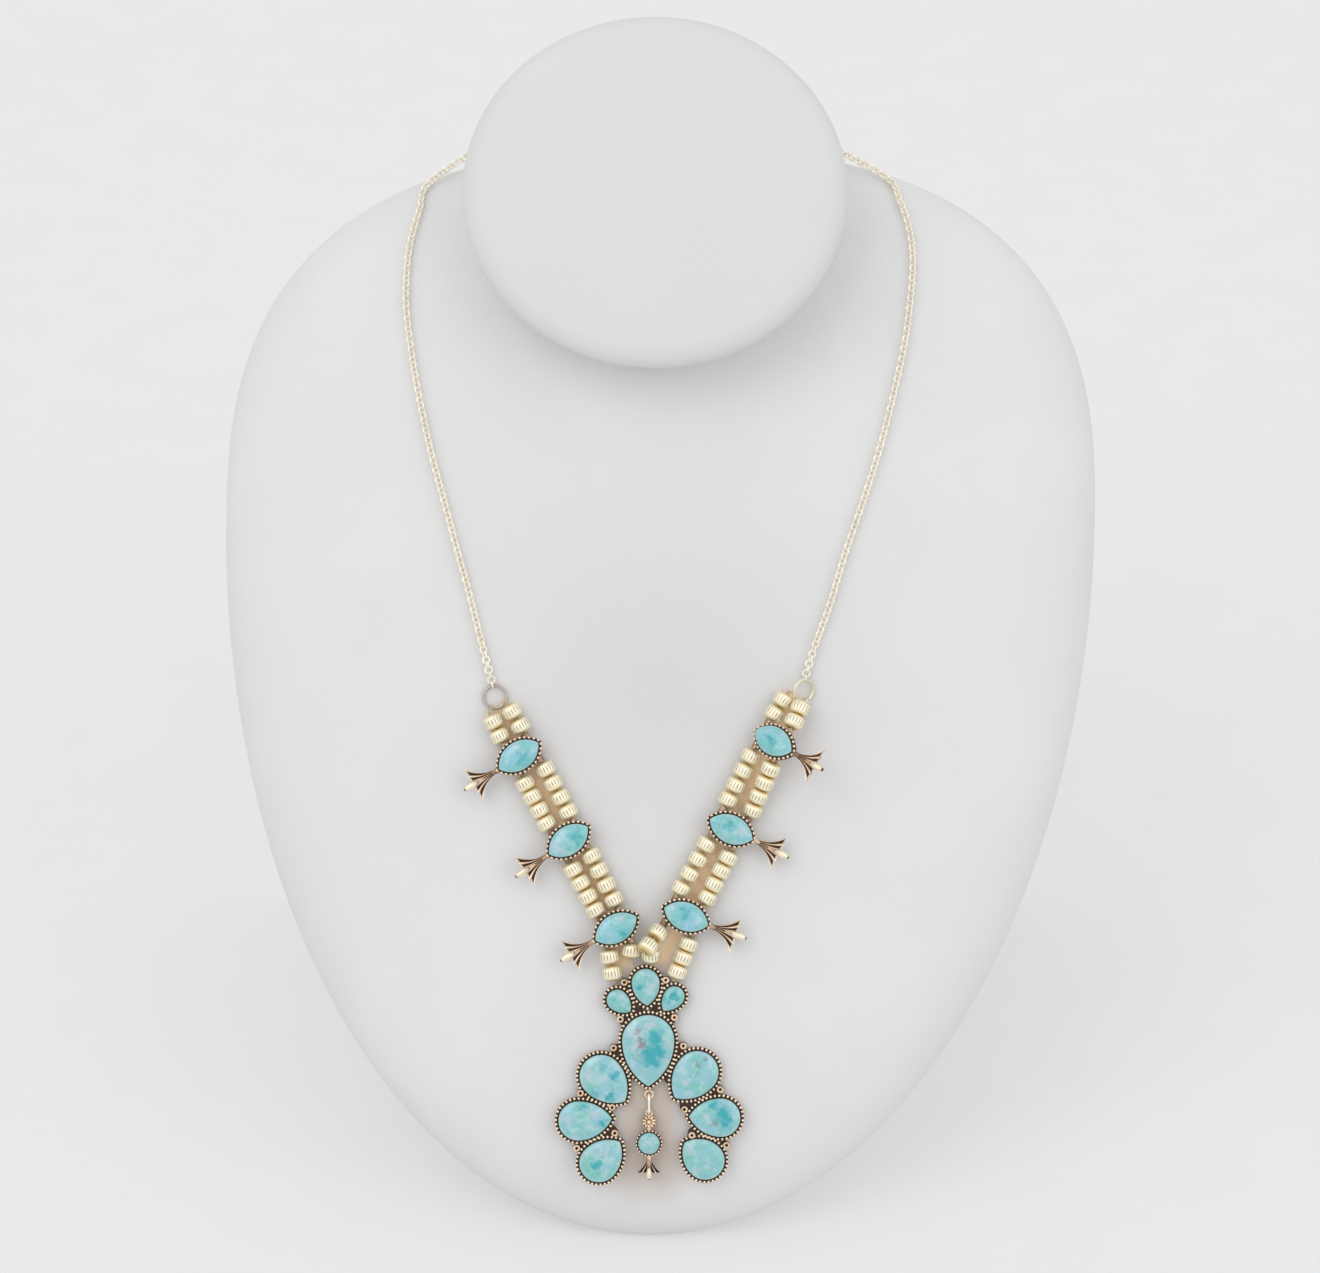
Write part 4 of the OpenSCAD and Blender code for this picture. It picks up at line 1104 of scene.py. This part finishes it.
# Coloured patches of the stones, for each kind: x, y on the chest, radius
TEAL, BROWN, VEIL = 0, 1, 2
BEND = 0.38
PATCH_SPREAD = 1.25
STATION_PATCHES = 0.75
PATCHES = {
    TEAL: [
        [-1.1, 50.3, 2.9], [0.9, 51.4, 2.2], [0.2, 55, 2.1], [-0.5, 48.7, 2], [-4, 68.7, 1.2],
        [-11.3, 65.3, 0.9], [4.9, 66.4, 1.5], [3.4, 64.9, 1], [-10.8, 44.6, 1.5], [-14, 47.3, 1.1],
        [-12.1, 38.9, 1.3], [-15.9, 39.7, 1.2], [-19.4, 36.9, 1.3], [-14.3, 31.9, 1.2],
        [-12.4, 33.5, 0.9], [-15.7, 20.5, 1.4], [18.2, 34.6, 2.2], [18.9, 32.1, 1.8],
        [15.7, 37, 1.6], [-35.2, 129.7, 2], [-20.7, 108.9, 2.2], [-22.7, 105.6, 1],
        [-8.2, 82.8, 2], [31, 134.5, 1.9], [31, 131.6, 1], [19.8, 112, 1.6], [16.5, 113.3, 1.2],
        [8.4, 88.4, 2.2]],
    BROWN: [
        [-3.4, 53.6, 1.5], [-4.9, 49.9, 1], [-4.6, 56.9, 1.1], [-1.2, 64.4, 0.6], [-11, 41.2, 0.5],
        [11.6, 47.8, 1.1], [13.1, 49.4, 0.9], [9.5, 44.6, 0.8], [11.4, 45.4, 0.8],
        [16.2, 32.1, 1.2], [12.7, 21.6, 0.4], [16.2, 19.7, 0.7], [13.8, 18.1, 0.5]],
    VEIL: [
        [-4.9, 55.9, 2.2], [-4.5, 52.3, 1.9], [2.7, 54.8, 1.8], [3.6, 53, 1.6], [-1.6, 58.6, 1.9],
        [-1.4, 68.6, 1.7], [-3, 65.4, 1], [-8.6, 66, 1.1], [2.8, 62.8, 0.8], [-17.5, 45, 2.2],
        [-14.6, 43.6, 1.3], [-16.2, 34.3, 1.4], [-23.5, 33.2, 1.1], [-21.3, 28.1, 1.3],
        [-14.3, 23.6, 1.2], [-18.4, 23.5, 1.4], [-13.6, 17.2, 1], [8.4, 43, 1.4],
        [13.8, 33.9, 1.4], [9.5, 24.8, 1.6], [11.3, 19.2, 1.1], [-37.7, 133.5, 2],
        [-31.9, 132.2, 1.3], [-25.6, 106.3, 2.4], [-22.7, 110.4, 0.9], [-9, 87, 1.8],
        [-12.4, 83, 1.2], [34.3, 136.2, 1.6], [32.7, 132.2, 1.2], [18.6, 109.2, 2],
        [23.2, 110.6, 2.1], [4.6, 90.2, 1.5], [11, 86, 1.4], [-1.4, 26.5, 1.1]]}


def patched(stone, strength=1):
    """Tones of a stone's patches: bell curves of the distance on the chest from each patch, with
    the places bent by two slow waves each way, so that no patch is round. Small ones are weaker."""
    x, y = stone.points[:, 0], stone.points[:, 1]
    bend = np.stack([np.sin(1.9 * y + 0.8 * x + 1) + 0.6 * np.sin(3.7 * x - 2.3 * y),
                     np.sin(2.2 * x - 0.7 * y + 2) + 0.6 * np.sin(4.1 * y + 1.9 * x)], -1)
    bent = stone.points[:, :2] + BEND * bend
    for kind, table in PATCHES.items():
        table = np.array(table)
        away = np.linalg.norm(bent[:, None] - table[:, :2], axis=-1) / (PATCH_SPREAD * table[:, 2])
        near = strength * np.clip(0.45 + 0.3 * table[:, 2], 0, 1) * np.exp(-away ** 2)
        stone.tone[:, kind] = near.max(axis=1)
    return stone


# Materials
cover = bust_cover()
# One gold for both jump rings in two copies: painted shade on the left, painted paler as if lit on
# the right
ring_gold = {
    "left": polished_gold("ring_gold", (0.56, 0.47, 0.43), (0.42, 0.33, 0.28), 0.3, 0.95),
    "right": polished_gold("ring_gold_painted_lit", (0.84, 0.76, 0.57), (0.6, 0.5, 0.3), 0.25, 0.8)}
chain_gold = polished_gold("pale_gold", (0.97, 0.91, 0.77), (0.82, 0.7, 0.46), 0.3, 0.5)
bead_gold = polished_gold("bead_gold", (1, 0.93, 0.71), (0.74, 0.56, 0.23), 0.26, 0.5)
old_gold = antique_gold()
stone_blue = turquoise("turquoise", (0.195, 0.5, 0.49), (0.26, 0.51, 0.6))
stone_sky = turquoise("sky_turquoise", (0.185, 0.51, 0.53), (0.24, 0.52, 0.64))
cord = bead_cord()

# Pieces
piece("neck_bust_cover", [chest(), neck()], cover, ["neck_bust"])
for side in ("left", "right"):
    piece("chain_links_" + side, [chain(side)], chain_gold, ["chain_" + side])
    piece("jump_wire_" + side, [jump_ring(side)], ring_gold[side],
          ["jump_ring_" + side])
piece("clasp_barrel", [clasp()], chain_gold, ["clasp"])
for name, runs in RUNS.items():
    piece("fluted_beads_" + name, bead_string(runs), bead_gold, ["beads_" + name])
    piece("cord_" + name, thread(name), cord, ["thread_" + name])
for name in STATIONS:
    piece("setting_" + name, station(name), old_gold, ["station_" + name])
    stone = patched(marquise_stone(name), STATION_PATCHES)
    piece("turquoise_" + name, [stone], stone_sky, ["stone_" + name])
piece("naja_setting", naja_frame(), old_gold, ["naja_frame"])
for name in NAJA:
    piece("naja_turquoise_" + name, [patched(pear_stone(name))], stone_blue,
          ["naja_stone_" + name])
piece("drop_wire", drop_link(), chain_gold, ["drop_link"])
piece("drop_flower_setting", drop_setting(), old_gold, ["drop_setting"])
piece("drop_turquoise", [patched(drop_stone())], stone_blue, ["drop_stone"])


# Floor, light and camera
FLOOR_HALF = 30
FLOOR_GLOW = 0.375
WORLD_GLOW = 0.89
LAMP_SIZE = 1.8
MIDDLE = 0, -0.02, 0.15
# Lamps: place, power
LAMPS = {"window_left": [(-1.3, -1.5, 2.2), 15], "window_right": [(1.6, -1.6, 1.4), 8]}


def floor():
    """White paper, lit from below too, which softens the shadows on it."""
    s = Shader("floor_paper")
    mesh = bpy.data.meshes.new("floor")
    corners = FLOOR_HALF * np.array([[-1, -1, 0], [1, -1, 0], [1, 1, 0], [-1, 1, 0]])
    mesh.from_pydata(corners.tolist(), [], [(0, 1, 2, 3)])
    mesh.materials.append(s.finish(
        Base_Color=s.mix(s.noise(40, 2), (0.41, 0.41, 0.41), (0.43, 0.43, 0.43)), Roughness=0.9,
        Emission_Color=(1, 1, 1, 1), Emission_Strength=FLOOR_GLOW))
    linked("floor", mesh)


def turned_to(place, aim):
    """Matrix of a lamp or camera at place whose back points away from aim."""
    axes = frames_along([np.subtract(place, aim)])[0]
    return Matrix([[*axes[k], place[k]] for k in range(3)] + [[0, 0, 0, 1]])


floor()
for name, (place, power) in LAMPS.items():
    soft_box = bpy.data.lights.new(name, "AREA")
    soft_box.shape = "SQUARE"
    soft_box.size = LAMP_SIZE
    soft_box.energy = power
    linked(name, soft_box).matrix_world = turned_to(place, MIDDLE)
world = bpy.data.worlds.new("studio")
world.use_nodes = True
sky = world.node_tree.nodes["Background"].inputs
sky["Color"].default_value = (1, 1, 1, 1)
sky["Strength"].default_value = WORLD_GLOW
bpy.context.scene.world = world
bpy.context.scene.view_settings.view_transform = "Standard"

# Camera: square to the chest, as far as 1.5 m, with the photo's frame on the necklace
PHOTO_W = 1320
MM_PER_PIXEL = 0.27
CAMERA_AWAY = 1500
AIM = np.array([[1.35, 162.5, 10.0]])
SENSOR = 36
camera = bpy.data.cameras.new("camera")
camera.sensor_width = SENSOR
camera.lens = SENSOR * CAMERA_AWAY / (PHOTO_W * MM_PER_PIXEL)
camera.clip_end = 100
eye = linked("camera", camera)
eye.matrix_world = turned_to(to_row(AIM + [0, 0, CAMERA_AWAY])[0], to_row(AIM)[0])
bpy.context.scene.camera = eye
